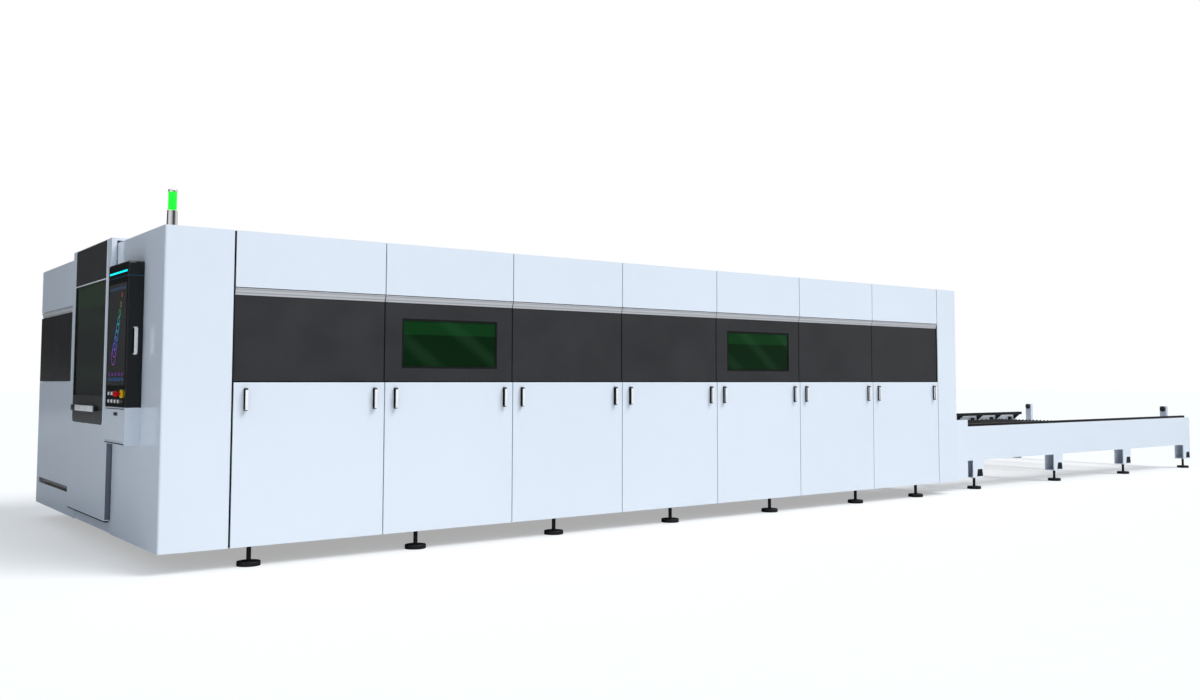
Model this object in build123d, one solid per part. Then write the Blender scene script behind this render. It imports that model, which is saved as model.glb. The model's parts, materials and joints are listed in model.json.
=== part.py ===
from build123d import *
import os

# Enclosed sheet-cutting laser with a shuttle table for two pallets.
# Lengths are in millimetres. +X runs from the operator end to the shuttle table, -Y is the side
# with the windows, +Z is up, and the origin is on the floor under the middle of the machine.

# General fits
overrun = 5.0
running_gap = 0.5
seat_gap = 0.3

# Sides of the many small round pieces
round_sides = 12
fine_sides = 16
stem_sides = 6

# Housing
panel_pitch = 1200.0
panel_count = 7
front_column = 500.0
rear_column = 370.0
housing_width = 4460.0
ground_clearance = 155.0
housing_height = 2335.0
lower_panel_share = 0.5195
band_share = 0.2758
trim_share = 0.0248
trim_shadow = 6.0
panel_seam = 10.0
corner_seam = 16.0
panel_depth = 40.0
sheet = 3.0
band_recess = 15.0
corner_radius = 14.0
post_size = 100.0
roof_beam_height = 120.0
sill_width = 160.0
sill_height = 80.0

# Windows in the dark band
window_bay_counts = (1, 4)
window_width = 895.0
window_height_share = 0.6335
window_rise_share = 0.1693
window_frame_width = 16.0
window_frame_depth = 18.0
window_glass_thickness = 6.0

# Pull handles of the lift-off access panels
handle_height = 170.0
handle_width = 24.0
handle_reach = 40.0
handle_bar = 11.0
handle_chamfer = 10.0
handle_inset = 85.0
handle_drop = 41.0

# Sliding door of the operator end
door_offset = 1370.0
door_width = 1400.0
door_rise = 105.0
door_above_roof = 42.0
door_thickness = 40.0
door_standoff = 5.0
door_side_gap = 5.0
door_travel = 1250.0
door_lap = 100.0
door_cap_thickness = 20.0
door_panel_margin = 140.0
door_panel_rise = 758.0
door_panel_top_margin = 7.0
door_panel_radius = 40.0
door_panel_thickness = 4.0
door_glass_margin = 34.0
door_glass_rise = 237.0
door_glass_drop = 325.0
door_glass_thickness = 8.0
door_glass_setback = 6.0
door_handle_length = 800.0
door_handle_rise = 128.0
door_handle_height = 50.0
door_handle_reach = 46.0
door_handle_bar = 14.0
door_handle_foot = 60.0
lintel_height = 100.0
plinth_recess = 12.0
plinth_gap = 5.0

# Rails that carry and guide the sliding door
hanger_setback = 300.0
hanger_rail_width = 12.0
hanger_rail_height = 18.0
hanger_block_width = 44.0
hanger_block_length = 120.0
guide_groove_rise = 205.0
guide_groove_height = 53.0
guide_groove_margin = 120.0
guide_shoe_length = 60.0
guide_shoe_inset = 20.0

# Control console on the operator end
console_offset = 525.0
console_width = 608.0
console_depth = 112.0
console_rise = 738.0
console_base_height = 282.0
console_top_drop = 220.0
console_radius = 12.0
console_top_radius = 20.0
console_edge = 5.0
console_wall = 5.0
screen_margin = 34.0
screen_rise = 165.0
screen_drop = 155.0
screen_thickness = 4.0
light_bar_margin = 35.0
light_bar_drop = 71.0
light_bar_height = 14.0
light_bar_depth = 3.0
console_handle_rise = 394.0
console_handle_height = 208.0
flap_side_margin = 14.0
flap_top_margin = 14.0
flap_lip = 26.0
flap_thickness = 10.0
flap_gap = 1.0
knuckle_radius = 5.0
knuckle_length = 24.0

# Push buttons and emergency stop
button_column_count = 5
button_pitch = 98.0
button_margin = 121.0
button_row_rises = (45.0, 103.0)
button_radius = 13.0
button_proud = 9.0
button_travel = 4.0
button_stem = 16.0
button_clearance = 0.4
estop_collar_radius = 32.0
estop_collar_height = 14.0
estop_head_radius = 23.0
estop_head_height = 22.0
estop_head_chamfer = 7.0
estop_stem_radius = 11.0
estop_stem_length = 36.0
estop_reach = 58.0

# Signal light on the roof corner
tower_inset_x = 55.0
tower_inset_y = 45.0
tower_base_radius = 36.5
tower_base_height = 110.0
tower_lens_radius = 30.5
tower_lens_height = 132.0
tower_cap_height = 23.0

# Levelling feet
foot_pad_radius = 86.0
foot_pad_height = 36.0
foot_stem_radius = 17.0
foot_flange_radius = 28.0
foot_flange_height = 10.0
housing_foot_count = 7
housing_foot_first = 682.0
housing_foot_last = 675.0
housing_foot_pitch_share = 1.1383

# Shuttle table
table_length = 6420.0
table_offset = 200.0
far_bay_width = 1120.0
plate_thickness = 12.0
plate_top = 800.0
plate_bottom = 370.0
tab_length = 500.0
tab_rise = 86.0
tab_foot_length = 490.0
leg_count = 4
leg_first = 600.0
leg_width = 225.0
leg_depth = 140.0
leg_bottom = 147.0
leg_wall = 10.0
insert_width = 130.0
insert_top_width = 96.0
insert_height = 92.0
insert_margin = 14.0
cross_beam_width = 120.0
cross_beam_height = 120.0
end_post_width = 105.0
end_post_depth = 60.0
end_post_top = 972.0
end_post_margin = 350.0
buffer_radius = 44.0
buffer_length = 36.0
buffer_drop = 42.0

# Pallet rails, gussets and guide rollers
upper_rail_inset = 75.0
upper_rail_width = 50.0
upper_rail_height = 48.0
upper_rail_top = 827.0
lower_rail_inset = 175.0
lower_rail_width = 40.0
lower_rail_height = 48.0
gusset_pitch = 565.0
gusset_thickness = 24.0
gusset_height = 88.0
gusset_end_margin = 80.0
roller_radius = 30.0
roller_length = 46.0
roller_height = 715.0
roller_lead = 160.0

# Pallets
pallet_length = 6150.0
pallet_side_room = 230.0
upper_pallet_parking = 850.0
pallet_beam_width = 80.0
pallet_beam_height = 80.0
pallet_cross_count = 5
upper_pallet_beam_bottom = 835.0
lower_pallet_end = 840.0
lower_pallet_beam_bottom = 585.0
slat_pitch = 250.0
slat_height = 60.0
slat_thickness = 5.0
slat_tooth = 26.0
slat_teeth = 8
slat_end_margin = 75.0
wheel_radius = 40.0
wheel_width = 30.0
axle_radius = 12.0
wheel_inset = 500.0
wheels_per_side = 3

# Cutting bed and gantry
bed_beam_width = 105.0
bed_beam_setback = 55.0
bed_top = 1000.0
bed_front = 850.0
bed_rear = 120.0
guide_rail_width = 34.0
guide_rail_height = 28.0
carriage_length = 500.0
carriage_width = 100.0
carriage_height = 150.0
carriage_skirt = 20.0
gantry_beam_width = 260.0
gantry_beam_height = 300.0
gantry_parking = 1260.0
motor_radius = 45.0
motor_length = 170.0
cross_rail_height = 24.0
cross_rail_depth = 20.0
cross_rail_margin = 60.0
cross_rail_end = 130.0
head_plate_width = 300.0
head_plate_depth = 55.0
head_plate_drop = 20.0
lift_plate_width = 180.0
lift_plate_depth = 30.0
lift_plate_height = 420.0
head_body_width = 130.0
head_body_depth = 120.0
head_body_height = 300.0
head_body_chamfer = 22.0
head_neck_radius = 45.0
head_neck_height = 110.0
nozzle_radius = 24.0
nozzle_tip_inset = 15.0
nozzle_tip_height = 34.0
nozzle_height = 46.0
head_ground = 1215.0

# Cabinets in the bay behind the far panels
cabinet_aisle = 235.0
cabinet_back_gap = 75.0
cabinet_height = 1500.0
cabinet_door = 18.0
cabinet_door_margin = 30.0
laser_cabinet_length = 1100.0
control_cabinet_length = 1800.0
cabinet_gap = 300.0

# Drive of the pallet chain
motor_box_length = 260.0
motor_box_width = 200.0
motor_box_height = 180.0
drive_motor_radius = 70.0
drive_motor_length = 240.0

# Rear wall
gate_bottom = 500.0
gate_top = 1160.0
gate_margin = 50.0

# Places worked out from the sizes above
lower_panel_height = housing_height * lower_panel_share
band_height = housing_height * band_share
trim_height = housing_height * trim_share
window_height = band_height * window_height_share
window_rise = band_height * window_rise_share
housing_length = front_column + panel_count * panel_pitch + rear_column
total_length = estop_reach + console_depth + housing_length + table_length
front_x = estop_reach + console_depth - total_length / 2
rear_leg = table_offset + gate_margin
rear_x = front_x + housing_length
end_x = rear_x + table_length
side_y = housing_width / 2
skin_y = side_y - panel_depth
base_z = ground_clearance
frame_z = base_z + sill_height
band_z = base_z + lower_panel_height
trim_z = band_z + band_height
upper_z = trim_z + trim_height
top_z = base_z + housing_height
roof_z = top_z - panel_depth
seams = [front_x + front_column + k * panel_pitch for k in range(panel_count + 1)]

door_low_y = door_offset - side_y
door_high_y = door_low_y + door_width
doorway = (door_low_y + door_lap, door_high_y - door_lap)
door_back = front_x - door_standoff
door_face = door_back - door_thickness
door_low_z = base_z + door_rise
door_high_z = top_z + door_above_roof
groove = (base_z + guide_groove_rise, base_z + guide_groove_rise + guide_groove_height)

table_width = housing_width - table_offset - far_bay_width
pallet_width = table_width - 2 * pallet_side_room
table_low_y = table_offset - side_y
table_high_y = table_low_y + table_width
table_mid_y = (table_low_y + table_high_y) / 2
plate_inner = table_width / 2 - plate_thickness
upper_rail_outer = table_width / 2 - upper_rail_inset
upper_rail = (upper_rail_outer - upper_rail_width, upper_rail_outer)
lower_rail_outer = table_width / 2 - lower_rail_inset
lower_rail = (lower_rail_outer - lower_rail_width, lower_rail_outer)
bed_inner = table_width / 2 - bed_beam_setback
bed_outer = bed_inner + bed_beam_width
bed_span = (front_x + bed_front, rear_x - bed_rear)
leg_pitch = (table_length - leg_first - leg_width) / (leg_count - 1)
leg_starts = [rear_x + leg_first + k * leg_pitch for k in range(leg_count)]
cross_beam_top = plate_bottom + cross_beam_height
lower_rail_top = lower_pallet_beam_bottom + pallet_beam_height / 2 - wheel_radius - seat_gap


def span(middle, size):
    """Low and high end of a size centred on a point."""
    return (middle - size / 2, middle + size / 2)


def across(sign, first, second, middle=0):
    """Range between two distances from a middle plane, on the side that the sign gives."""
    return tuple(sorted((middle + sign * first, middle + sign * second)))


def block(x, y, z):
    """Box between the low and high ends given for each axis."""
    ends = (x, y, z)
    middle = [(low + high) / 2 for low, high in ends]
    return Pos(*middle) * Box(*[high - low for low, high in ends])


def pan(x, y, z, open_to):
    """Folded sheet pan: a face with four turned edges, open on one side such as '+y'."""
    hollow = []
    for axis, (low, high) in zip("xyz", (x, y, z)):
        start = low - overrun if open_to == "-" + axis else low + sheet
        stop = high + overrun if open_to == "+" + axis else high - sheet
        hollow.append((start, stop))
    return block(x, y, z) - block(*hollow)


def outline(points):
    """Flat face inside a closed run of straight lines."""
    return make_face(Polyline(*points, close=True))


def prism_x(points, x):
    """Outline of (y, z) points drawn out along X."""
    return Pos(x[0], 0, 0) * (Plane.YZ * extrude(outline(points), x[1] - x[0]))


def prism_y(points, y):
    """Outline of (x, z) points drawn out along Y."""
    return Pos(0, y[1], 0) * (Plane.XZ * extrude(outline(points), y[1] - y[0]))


def bar(radius, length, sides):
    """Bar along Z about the origin, round or with the given number of sides."""
    if not sides:
        return Cylinder(radius, length)
    return Pos(0, 0, -length / 2) * extrude(RegularPolygon(radius, sides), length)


def rod_x(x, y, z, radius, sides=0):
    """Bar along X."""
    return Pos((x[0] + x[1]) / 2, y, z) * (Rot(0, 90, 0) * bar(radius, x[1] - x[0], sides))


def rod_y(x, y, z, radius, sides=0):
    """Bar along Y."""
    return Pos(x, (y[0] + y[1]) / 2, z) * (Rot(90, 0, 0) * bar(radius, y[1] - y[0], sides))


def rod_z(x, y, z, radius, sides=0):
    """Bar along Z."""
    return Pos(x, y, (z[0] + z[1]) / 2) * bar(radius, z[1] - z[0], sides)


def save(node, pieces):
    """Write one node's solids to a STEP file of that name."""
    solids = [solid for piece in pieces for solid in piece.solids()]
    shape = solids[0] if len(solids) == 1 else Compound(children=solids)
    export_step(shape, f"parts/{node}.step")


# Housing sheets

def corner_sheet(reach_x, reach_y):
    """Sheet folded round an upright corner at the origin, with legs along +X and +Y."""
    def ell(start, end, depth, radius):
        far_x = reach_x - end
        far_y = reach_y - end
        face = outline([(start, start), (far_x, start), (far_x, depth),
                        (depth, depth), (depth, far_y), (start, far_y)])
        fold = min(face.vertices(), key=lambda corner: corner.X + corner.Y)
        return fillet(fold, radius)
    shell = extrude(ell(0, 0, panel_depth, corner_radius), housing_height)
    inner = ell(sheet, sheet, panel_depth + overrun, corner_radius - sheet)
    return shell - Pos(0, 0, sheet) * extrude(inner, housing_height - 2 * sheet)


def corner_sheets():
    """Front corner that runs on to the door, the far front column and the two rear corners."""
    column = front_column - corner_seam + panel_seam / 2
    rear = rear_column - panel_seam / 2
    front = Pos(front_x, -side_y, base_z) * corner_sheet(column, door_offset - door_side_gap)
    far = pan((front_x + panel_depth, front_x + column), (skin_y, side_y), (base_z, top_z), "-y")
    turned = mirror(corner_sheet(rear, rear_leg), about=Plane.YZ)
    rear_near = Pos(rear_x, -side_y, base_z) * turned
    rear_far = Pos(rear_x, side_y, base_z) * mirror(turned, about=Plane.XZ)
    return [front, far, rear_near, rear_far]


def bay(index):
    """X range of one side panel between its seams."""
    return (seams[index] + panel_seam / 2, seams[index + 1] - panel_seam / 2)


def side_rows():
    """Panels of both long sides, row by row: access panels, dark band, trim strips, upper panels."""
    access, band, trim, upper = [], [], [], []
    for sign, inside in ((-1, "+y"), (1, "-y")):
        full = across(sign, skin_y, side_y)
        recessed = across(sign, skin_y, side_y - band_recess)
        strip = [(sign * skin_y, trim_z), (sign * (side_y - band_recess), trim_z),
                 (sign * side_y, upper_z - trim_shadow), (sign * skin_y, upper_z - trim_shadow)]
        for index in range(panel_count):
            x = bay(index)
            access.append(pan(x, full, (base_z, band_z - panel_seam / 2), inside))
            band_panel = pan(x, recessed, (band_z + panel_seam / 2, trim_z), inside)
            if sign < 0 and index in window_bay_counts:
                band_panel -= block(*window_box(index, recessed, overrun))
            band.append(band_panel)
            trim.append(prism_x(strip, x))
            upper.append(pan(x, full, (upper_z, top_z), inside))
    return access, band, trim, upper


def window_box(index, y, margin=0):
    """X, Y and Z range of a window opening, with Y widened by a margin."""
    low = band_z + window_rise
    x = span(sum(bay(index)) / 2, window_width)
    return x, (y[0] - margin, y[1] + margin), (low, low + window_height)


def windows():
    """Black frames set in the window openings and the tinted panes that they hold."""
    frames, panes = [], []
    face_y = -(side_y - band_recess)
    frame_y = (face_y, face_y + window_frame_depth)
    pane_y = span(sum(frame_y) / 2, window_glass_thickness)
    for index in window_bay_counts:
        x, y, z = window_box(index, frame_y)
        inner_x = (x[0] + window_frame_width, x[1] - window_frame_width)
        inner_z = (z[0] + window_frame_width, z[1] - window_frame_width)
        cut_y = (y[0] - overrun, y[1] + overrun)
        frames.append(block(x, y, z) - block(inner_x, cut_y, inner_z))
        panes.append(block(inner_x, pane_y, inner_z))
    return frames, panes


def pull_outline(reach, height, bar, chamfer):
    """Side view of a U-shaped pull: reach from its wall, then height."""
    return [(0, 0), (reach - chamfer, 0), (reach, chamfer), (reach, height - chamfer),
            (reach - chamfer, height), (0, height), (0, height - bar), (reach - bar, height - bar),
            (reach - bar, bar), (0, bar)]


def access_handles():
    """Two upright pulls near the top corners of each access panel."""
    pulls = []
    foot = band_z - panel_seam / 2 - handle_drop - handle_height
    shape = pull_outline(handle_reach, handle_height, handle_bar, handle_chamfer)
    for sign in (-1, 1):
        points = [(sign * (side_y + reach), foot + rise) for reach, rise in shape]
        for index in range(panel_count):
            low, high = bay(index)
            for middle in (low + handle_inset, high - handle_inset):
                pulls.append(prism_x(points, span(middle, handle_width)))
    return pulls


def roof_panels():
    """Roof pans between the upper side panels, one over each bay and one over each end."""
    edges = [front_x + panel_depth] + seams + [rear_x - panel_depth]
    pans = []
    for low, high in zip(edges, edges[1:]):
        pans.append(pan((low, high), (-skin_y, skin_y), (roof_z, top_z), "-z"))
    return pans


def housing_frame():
    """Sills, cross sills, posts and roof beams that the sheets hang on."""
    bars = []
    sill_inner = skin_y - sill_width
    inside_x = (front_x + panel_depth, rear_x - panel_depth)
    beam_z = roof_z - roof_beam_height
    for sign in (-1, 1):
        bars.append(block(inside_x, across(sign, skin_y, sill_inner), (base_z, frame_z)))
    ends = [inside_x[0] + sill_width / 2, inside_x[1] - sill_width / 2]
    for middle in ends + seams[:-1]:
        bars.append(block(span(middle, sill_width), (-sill_inner, sill_inner), (base_z, frame_z)))
    for middle in seams:
        for sign in (-1, 1):
            post_y = across(sign, skin_y, skin_y - post_size)
            bars.append(block(span(middle, post_size), post_y, (frame_z, beam_z)))
        bars.append(block(span(middle, post_size), (-skin_y, skin_y), (beam_z, roof_z)))
    return bars


def rear_wall():
    """Pans round the gate that the pallets pass through."""
    x = (rear_x - panel_depth, rear_x)
    gate = (table_low_y + gate_margin, table_high_y - gate_margin)
    edge = side_y - rear_leg
    over = pan(x, (-edge, edge), (gate_top, top_z), "-x")
    under = pan(x, (-edge, edge), (base_z, gate_bottom), "-x")
    far = pan(x, (gate[1], edge), (gate_bottom, gate_top), "-x")
    return [over, under, far]


# Operator end

def front_panels():
    """White sheets beside, over and under the sliding door."""
    x = (front_x, front_x + panel_depth)
    y = (doorway[1], side_y)
    stop = side_y - guide_groove_margin
    kick = pan(x, y, (base_z, groove[0]), "+x")
    lower = pan(x, y, (groove[1], band_z - panel_seam / 2), "+x")
    upper = pan(x, y, (upper_z, top_z), "+x")
    closer = block(x, (stop, side_y), groove)
    start = door_low_y - door_side_gap
    header = pan(x, (start, doorway[1]), (roof_z - lintel_height, top_z), "+x")
    plinth_x = (front_x + plinth_recess, x[1])
    plinth = pan(plinth_x, (start, doorway[1]), (base_z, door_low_z - plinth_gap), "+x")
    return [kick, lower, upper, closer, header, plinth]


def front_band():
    """Dark band panel beside the door, set back like the band of the long sides."""
    x = (front_x + band_recess, front_x + panel_depth)
    return pan(x, (doorway[1], side_y), (band_z + panel_seam / 2, trim_z), "+x")


def front_trim():
    """Sloped trim strip over the front band."""
    points = [(front_x + panel_depth, trim_z), (front_x + band_recess, trim_z),
              (front_x, upper_z - trim_shadow), (front_x + panel_depth, upper_z - trim_shadow)]
    return prism_y(points, (doorway[1], side_y))


def door_portal():
    """Jambs and lintel behind the edges of the doorway."""
    x = (front_x + panel_depth, front_x + panel_depth + post_size)
    lintel_z = (roof_z - lintel_height, roof_z)
    right = block(x, (doorway[0] - door_lap, doorway[0]), (frame_z, lintel_z[0]))
    left = block(x, (doorway[1], doorway[1] + door_lap), (frame_z, lintel_z[0]))
    lintel = block(x, (doorway[0] - door_lap, doorway[1] + door_lap), lintel_z)
    return [right, left, lintel]


def door_rails():
    """Roof rail that carries the door and the grooved channel that guides its foot."""
    rail_x = span(front_x + hanger_setback, hanger_rail_width)
    rail = block(rail_x, (door_low_y, door_high_y + door_travel), (top_z, top_z + hanger_rail_height))
    channel_x = (front_x + sheet, front_x + panel_depth)
    channel = pan(channel_x, (doorway[1], side_y - guide_groove_margin), groove, "-x")
    return [rail, channel]


def door_frame_box():
    """Y and Z range of the dark door panel."""
    y = (door_low_y + door_panel_margin, door_high_y - door_panel_margin)
    return y, (door_low_z + door_panel_rise, door_high_z - door_panel_top_margin)


def door_glass_box():
    """Y and Z range of the door's pane."""
    y, z = door_frame_box()
    return ((y[0] + door_glass_margin, y[1] - door_glass_margin),
            (z[0] + door_glass_rise, z[1] - door_glass_drop))


def door_leaf():
    """Door slab with its window hole, the cap over the roof, two hangers and the foot shoe."""
    y = (door_low_y, door_high_y)
    slab = block((door_face, door_back), y, (door_low_z, door_high_z))
    glass_y, glass_z = door_glass_box()
    slab -= block((door_face - overrun, door_back + overrun), glass_y, glass_z)
    hanger_x = span(front_x + hanger_setback, hanger_block_width)
    cap_z = (door_high_z - door_cap_thickness, door_high_z)
    cap = block((door_back, hanger_x[1]), y, cap_z)
    slot_x = span(front_x + hanger_setback, hanger_rail_width + 2 * running_gap)
    slot = block(slot_x, (y[0] - overrun, y[1] + overrun), (top_z, top_z + hanger_rail_height + seat_gap))
    hangers = []
    for middle in (y[0] + hanger_block_length, y[1] - hanger_block_length):
        hanger_z = (top_z + running_gap, cap_z[0])
        hangers.append(block(hanger_x, span(middle, hanger_block_length), hanger_z) - slot)
    shoe_x = (door_back, front_x + panel_depth - sheet - running_gap)
    shoe_y = (y[1] - guide_shoe_inset - guide_shoe_length, y[1] - guide_shoe_inset)
    shoe_z = (groove[0] + sheet + running_gap, groove[1] - sheet - running_gap)
    return [slab, cap, *hangers, block(shoe_x, shoe_y, shoe_z)]


def door_panel():
    """Dark facing with round lower corners and a hole for the pane."""
    y, z = door_frame_box()
    x = (door_face - door_panel_thickness, door_face)
    face = outline([(y[0], z[0]), (y[1], z[0]), (y[1], z[1]), (y[0], z[1])])
    face = fillet(face.vertices().sort_by(Axis.Y)[:2], door_panel_radius)
    facing = Pos(x[0], 0, 0) * (Plane.YZ * extrude(face, door_panel_thickness))
    glass_y, glass_z = door_glass_box()
    return facing - block((x[0] - overrun, x[1] + overrun), glass_y, glass_z)


def door_window():
    """Tinted pane in the door's window hole."""
    y, z = door_glass_box()
    start = door_face + door_glass_setback
    return block((start, start + door_glass_thickness), y, z)


def door_handle():
    """Level bar on two feet across the dark facing."""
    middle = (door_low_y + door_high_y) / 2
    z = span(door_low_z + door_panel_rise + door_handle_rise, door_handle_height)
    wall = door_face - door_panel_thickness
    front = wall - door_handle_reach
    bar_y = span(middle, door_handle_length)
    bar = block((front, wall), bar_y, z)
    gap_y = (bar_y[0] + door_handle_foot, bar_y[1] - door_handle_foot)
    bar -= block((front + door_handle_bar, wall + overrun), gap_y, (z[0] - overrun, z[1] + overrun))
    return chamfer(bar.edges().filter_by(Axis.Z).sort_by(Axis.X)[:2], door_handle_bar / 2)


# Console

console_low_y = console_offset - side_y
console_high_y = console_low_y + console_width
console_face = front_x - console_depth
console_low_z = base_z + console_rise
console_mid_z = console_low_z + console_base_height
console_high_z = top_z - console_top_drop
screen_y = (console_low_y + screen_margin, console_high_y - screen_margin)
screen_z = (console_mid_z + screen_rise, console_high_z - screen_drop)
bar_y = (console_low_y + light_bar_margin, console_high_y - light_bar_margin)
bar_z = span(console_high_z - light_bar_drop, light_bar_height)
button_columns = [console_high_y - button_margin - k * button_pitch for k in range(button_column_count)]
button_rows = [console_mid_z + rise for rise in button_row_rises]
button_places = [(y, button_rows[1]) for y in button_columns[:3]]
button_places += [(y, button_rows[0]) for y in button_columns[:4]]
estop_place = (button_columns[-1], button_rows[1])
flap_y = (console_low_y + flap_side_margin, console_high_y - flap_side_margin)
flap_axis_z = console_low_z + flap_lip
flap_z = (flap_axis_z, console_mid_z - flap_top_margin)


def console_shell():
    """Dark upper shell with round top corners, bored for the buttons and sunk for the screen."""
    shell = block((console_face, front_x), (console_low_y, console_high_y), (console_mid_z, console_high_z))
    shell = fillet(shell.edges().filter_by(Axis.X).group_by(Axis.Z)[-1], console_top_radius)
    shell = chamfer(shell.faces().sort_by(Axis.X)[0].edges(), console_edge)
    shell -= block((console_face - overrun, console_face + screen_thickness), screen_y, screen_z)
    shell -= block((console_face - overrun, console_face + light_bar_depth), bar_y, bar_z)
    depth = console_face + button_stem + button_travel + running_gap
    for y, z in button_places:
        bore_x = (console_face - overrun, depth)
        shell -= rod_x(bore_x, y, z, button_radius + button_clearance, fine_sides)
    bore_x = (console_face - overrun, console_face + estop_stem_length)
    return shell - rod_x(bore_x, *estop_place, estop_stem_radius + button_clearance, fine_sides)


def console_screen():
    """Glass of the tall display, flush with the shell."""
    return block((console_face, console_face + screen_thickness), screen_y, screen_z)


def console_light_bar():
    """Lit strip over the display."""
    return block((console_face, console_face + light_bar_depth), bar_y, bar_z)


def console_base():
    """White box under the shell, open at the front, with the outer hinge knuckles."""
    y = (console_low_y, console_high_y)
    box = block((console_face, front_x), y, (console_low_z, console_mid_z))
    under = box.edges().group_by(Axis.Z)[0].sort_by(Axis.X)[0]
    box = fillet(under, console_radius)
    hollow_x = (console_face + flap_thickness + flap_gap, front_x - console_wall)
    hollow_y = (y[0] + console_wall, y[1] - console_wall)
    hollow_z = (console_low_z + console_wall, console_mid_z - console_wall)
    box -= block(hollow_x, hollow_y, hollow_z)
    mouth_y = (flap_y[0] - flap_gap, flap_y[1] + flap_gap)
    mouth_z = (flap_axis_z - knuckle_radius - running_gap, flap_z[1] + flap_gap)
    box -= block((console_face - overrun, hollow_x[0] + overrun), mouth_y, mouth_z)
    ends = ((mouth_y[0], mouth_y[0] + knuckle_length), (mouth_y[1] - knuckle_length, mouth_y[1]))
    for end in ends:
        box += rod_y(console_face, end, flap_axis_z, knuckle_radius, round_sides)
    return box


def console_flap():
    """Flap over the base's mouth, turning on a barrel along its lower edge."""
    leaf = block((console_face, console_face + flap_thickness), flap_y, flap_z)
    barrel_y = (flap_y[0] + knuckle_length + flap_gap, flap_y[1] - knuckle_length - flap_gap)
    notch_x = (console_face - overrun, console_face + flap_thickness + overrun)
    notch_z = (flap_z[0] - overrun, flap_z[0] + knuckle_radius + running_gap)
    leaf -= block(notch_x, (flap_y[0] - overrun, barrel_y[0]), notch_z)
    leaf -= block(notch_x, (barrel_y[1], flap_y[1] + overrun), notch_z)
    return leaf + rod_y(console_face, barrel_y, flap_axis_z, knuckle_radius, round_sides)


def console_handle():
    """Upright pull on the console's near side."""
    foot = console_mid_z + console_handle_rise
    shape = pull_outline(handle_reach, console_handle_height, handle_bar, handle_chamfer)
    points = [(console_low_y - reach, foot + rise) for reach, rise in shape]
    return prism_x(points, span(console_face + console_depth / 2, handle_width))


def push_button(y, z):
    """Round button with its stem in the shell's bore."""
    return rod_x((console_face - button_proud, console_face + button_stem), y, z, button_radius, fine_sides)


def estop_collar():
    """Ring round the emergency stop."""
    x = (console_face - estop_collar_height, console_face)
    bore_x = (x[0] - overrun, x[1] + overrun)
    bore = rod_x(bore_x, *estop_place, estop_stem_radius + button_clearance, fine_sides)
    return rod_x(x, *estop_place, estop_collar_radius, fine_sides) - bore


def estop_button():
    """Mushroom head on a stem."""
    tip = console_face - estop_reach
    head = rod_x((tip, tip + estop_head_height), *estop_place, estop_head_radius, fine_sides)
    head = chamfer(head.faces().sort_by(Axis.X)[0].edges(), estop_head_chamfer)
    stem_x = (tip + estop_head_height, console_face + estop_stem_length / 2)
    return head + rod_x(stem_x, *estop_place, estop_stem_radius, fine_sides)


# Signal light and feet

def tower_light():
    """Metal base and cap, and the lit lens between them."""
    x = front_x + tower_inset_x
    y = tower_inset_y - side_y
    lens_z = (top_z + tower_base_height, top_z + tower_base_height + tower_lens_height)
    base = rod_z(x, y, (top_z, lens_z[0]), tower_base_radius, fine_sides)
    cap = rod_z(x, y, (lens_z[1], lens_z[1] + tower_cap_height), tower_lens_radius, fine_sides)
    return [base, cap], rod_z(x, y, lens_z, tower_lens_radius, fine_sides)


def levelling_foot(x, y, seat):
    """Thick pad, stem and flange under a seat of the given height."""
    pad = rod_z(x, y, (0, foot_pad_height), foot_pad_radius, round_sides)
    stem = rod_z(x, y, (foot_pad_height, seat), foot_stem_radius, stem_sides)
    flange = rod_z(x, y, (seat - foot_flange_height, seat), foot_flange_radius, stem_sides)
    return pad + stem + flange


def levelling_feet():
    """Feet under both sills and under the table's legs."""
    feet = []
    first = front_x + housing_foot_first
    pitch = panel_pitch * housing_foot_pitch_share
    places = [first + k * pitch for k in range(housing_foot_count - 1)] + [rear_x - housing_foot_last]
    for x in places:
        for sign in (-1, 1):
            feet.append(levelling_foot(x, sign * (skin_y - sill_width / 2), base_z))
    for start in leg_starts:
        for sign in (-1, 1):
            y = table_mid_y + sign * (table_width / 2 - leg_depth / 2)
            feet.append(levelling_foot(start + leg_width / 2, y, leg_bottom))
    return feet


# Shuttle table

def table_side_plates():
    """Long side plates with a raised tab and a foot next to the housing."""
    tab_end = rear_x + tab_length
    foot_end = rear_x + tab_foot_length
    points = [(rear_x, leg_bottom), (rear_x, plate_top + tab_rise), (tab_end, plate_top + tab_rise),
              (tab_end, plate_top), (end_x, plate_top), (end_x, plate_bottom),
              (foot_end, plate_bottom), (foot_end, leg_bottom)]
    return [prism_y(points, across(sign, plate_inner, table_width / 2, table_mid_y)) for sign in (-1, 1)]


def leg_opening(start, margin=0):
    """Tapered hole low in a leg's outer wall, as (x, z) points."""
    high_x = start + leg_width - insert_margin + margin
    low_x = high_x - insert_width - 2 * margin
    taper = insert_width - insert_top_width
    low_z = leg_bottom + insert_margin - margin
    top = low_z + insert_height + 2 * margin
    return [(low_x, low_z), (high_x, low_z), (high_x - taper / 2, top), (low_x + taper / 2, top)]


def table_legs():
    """Channel legs, open towards the housing, with the tapered hole in the outer wall."""
    legs = []
    for start in leg_starts:
        for sign in (-1, 1):
            y = across(sign, table_width / 2 - leg_depth, table_width / 2, table_mid_y)
            z = (leg_bottom, plate_bottom)
            leg = block((start, start + leg_width), y, z)
            hollow_y = (y[0] + leg_wall, y[1] - leg_wall)
            leg -= block((start - overrun, start + leg_width - leg_wall), hollow_y,
                         (leg_bottom + leg_wall, plate_bottom - leg_wall))
            outer = table_width / 2 + overrun
            wall = across(sign, outer - leg_wall - 2 * overrun, outer, table_mid_y)
            legs.append(leg - prism_y(leg_opening(start), wall))
    return legs


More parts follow.
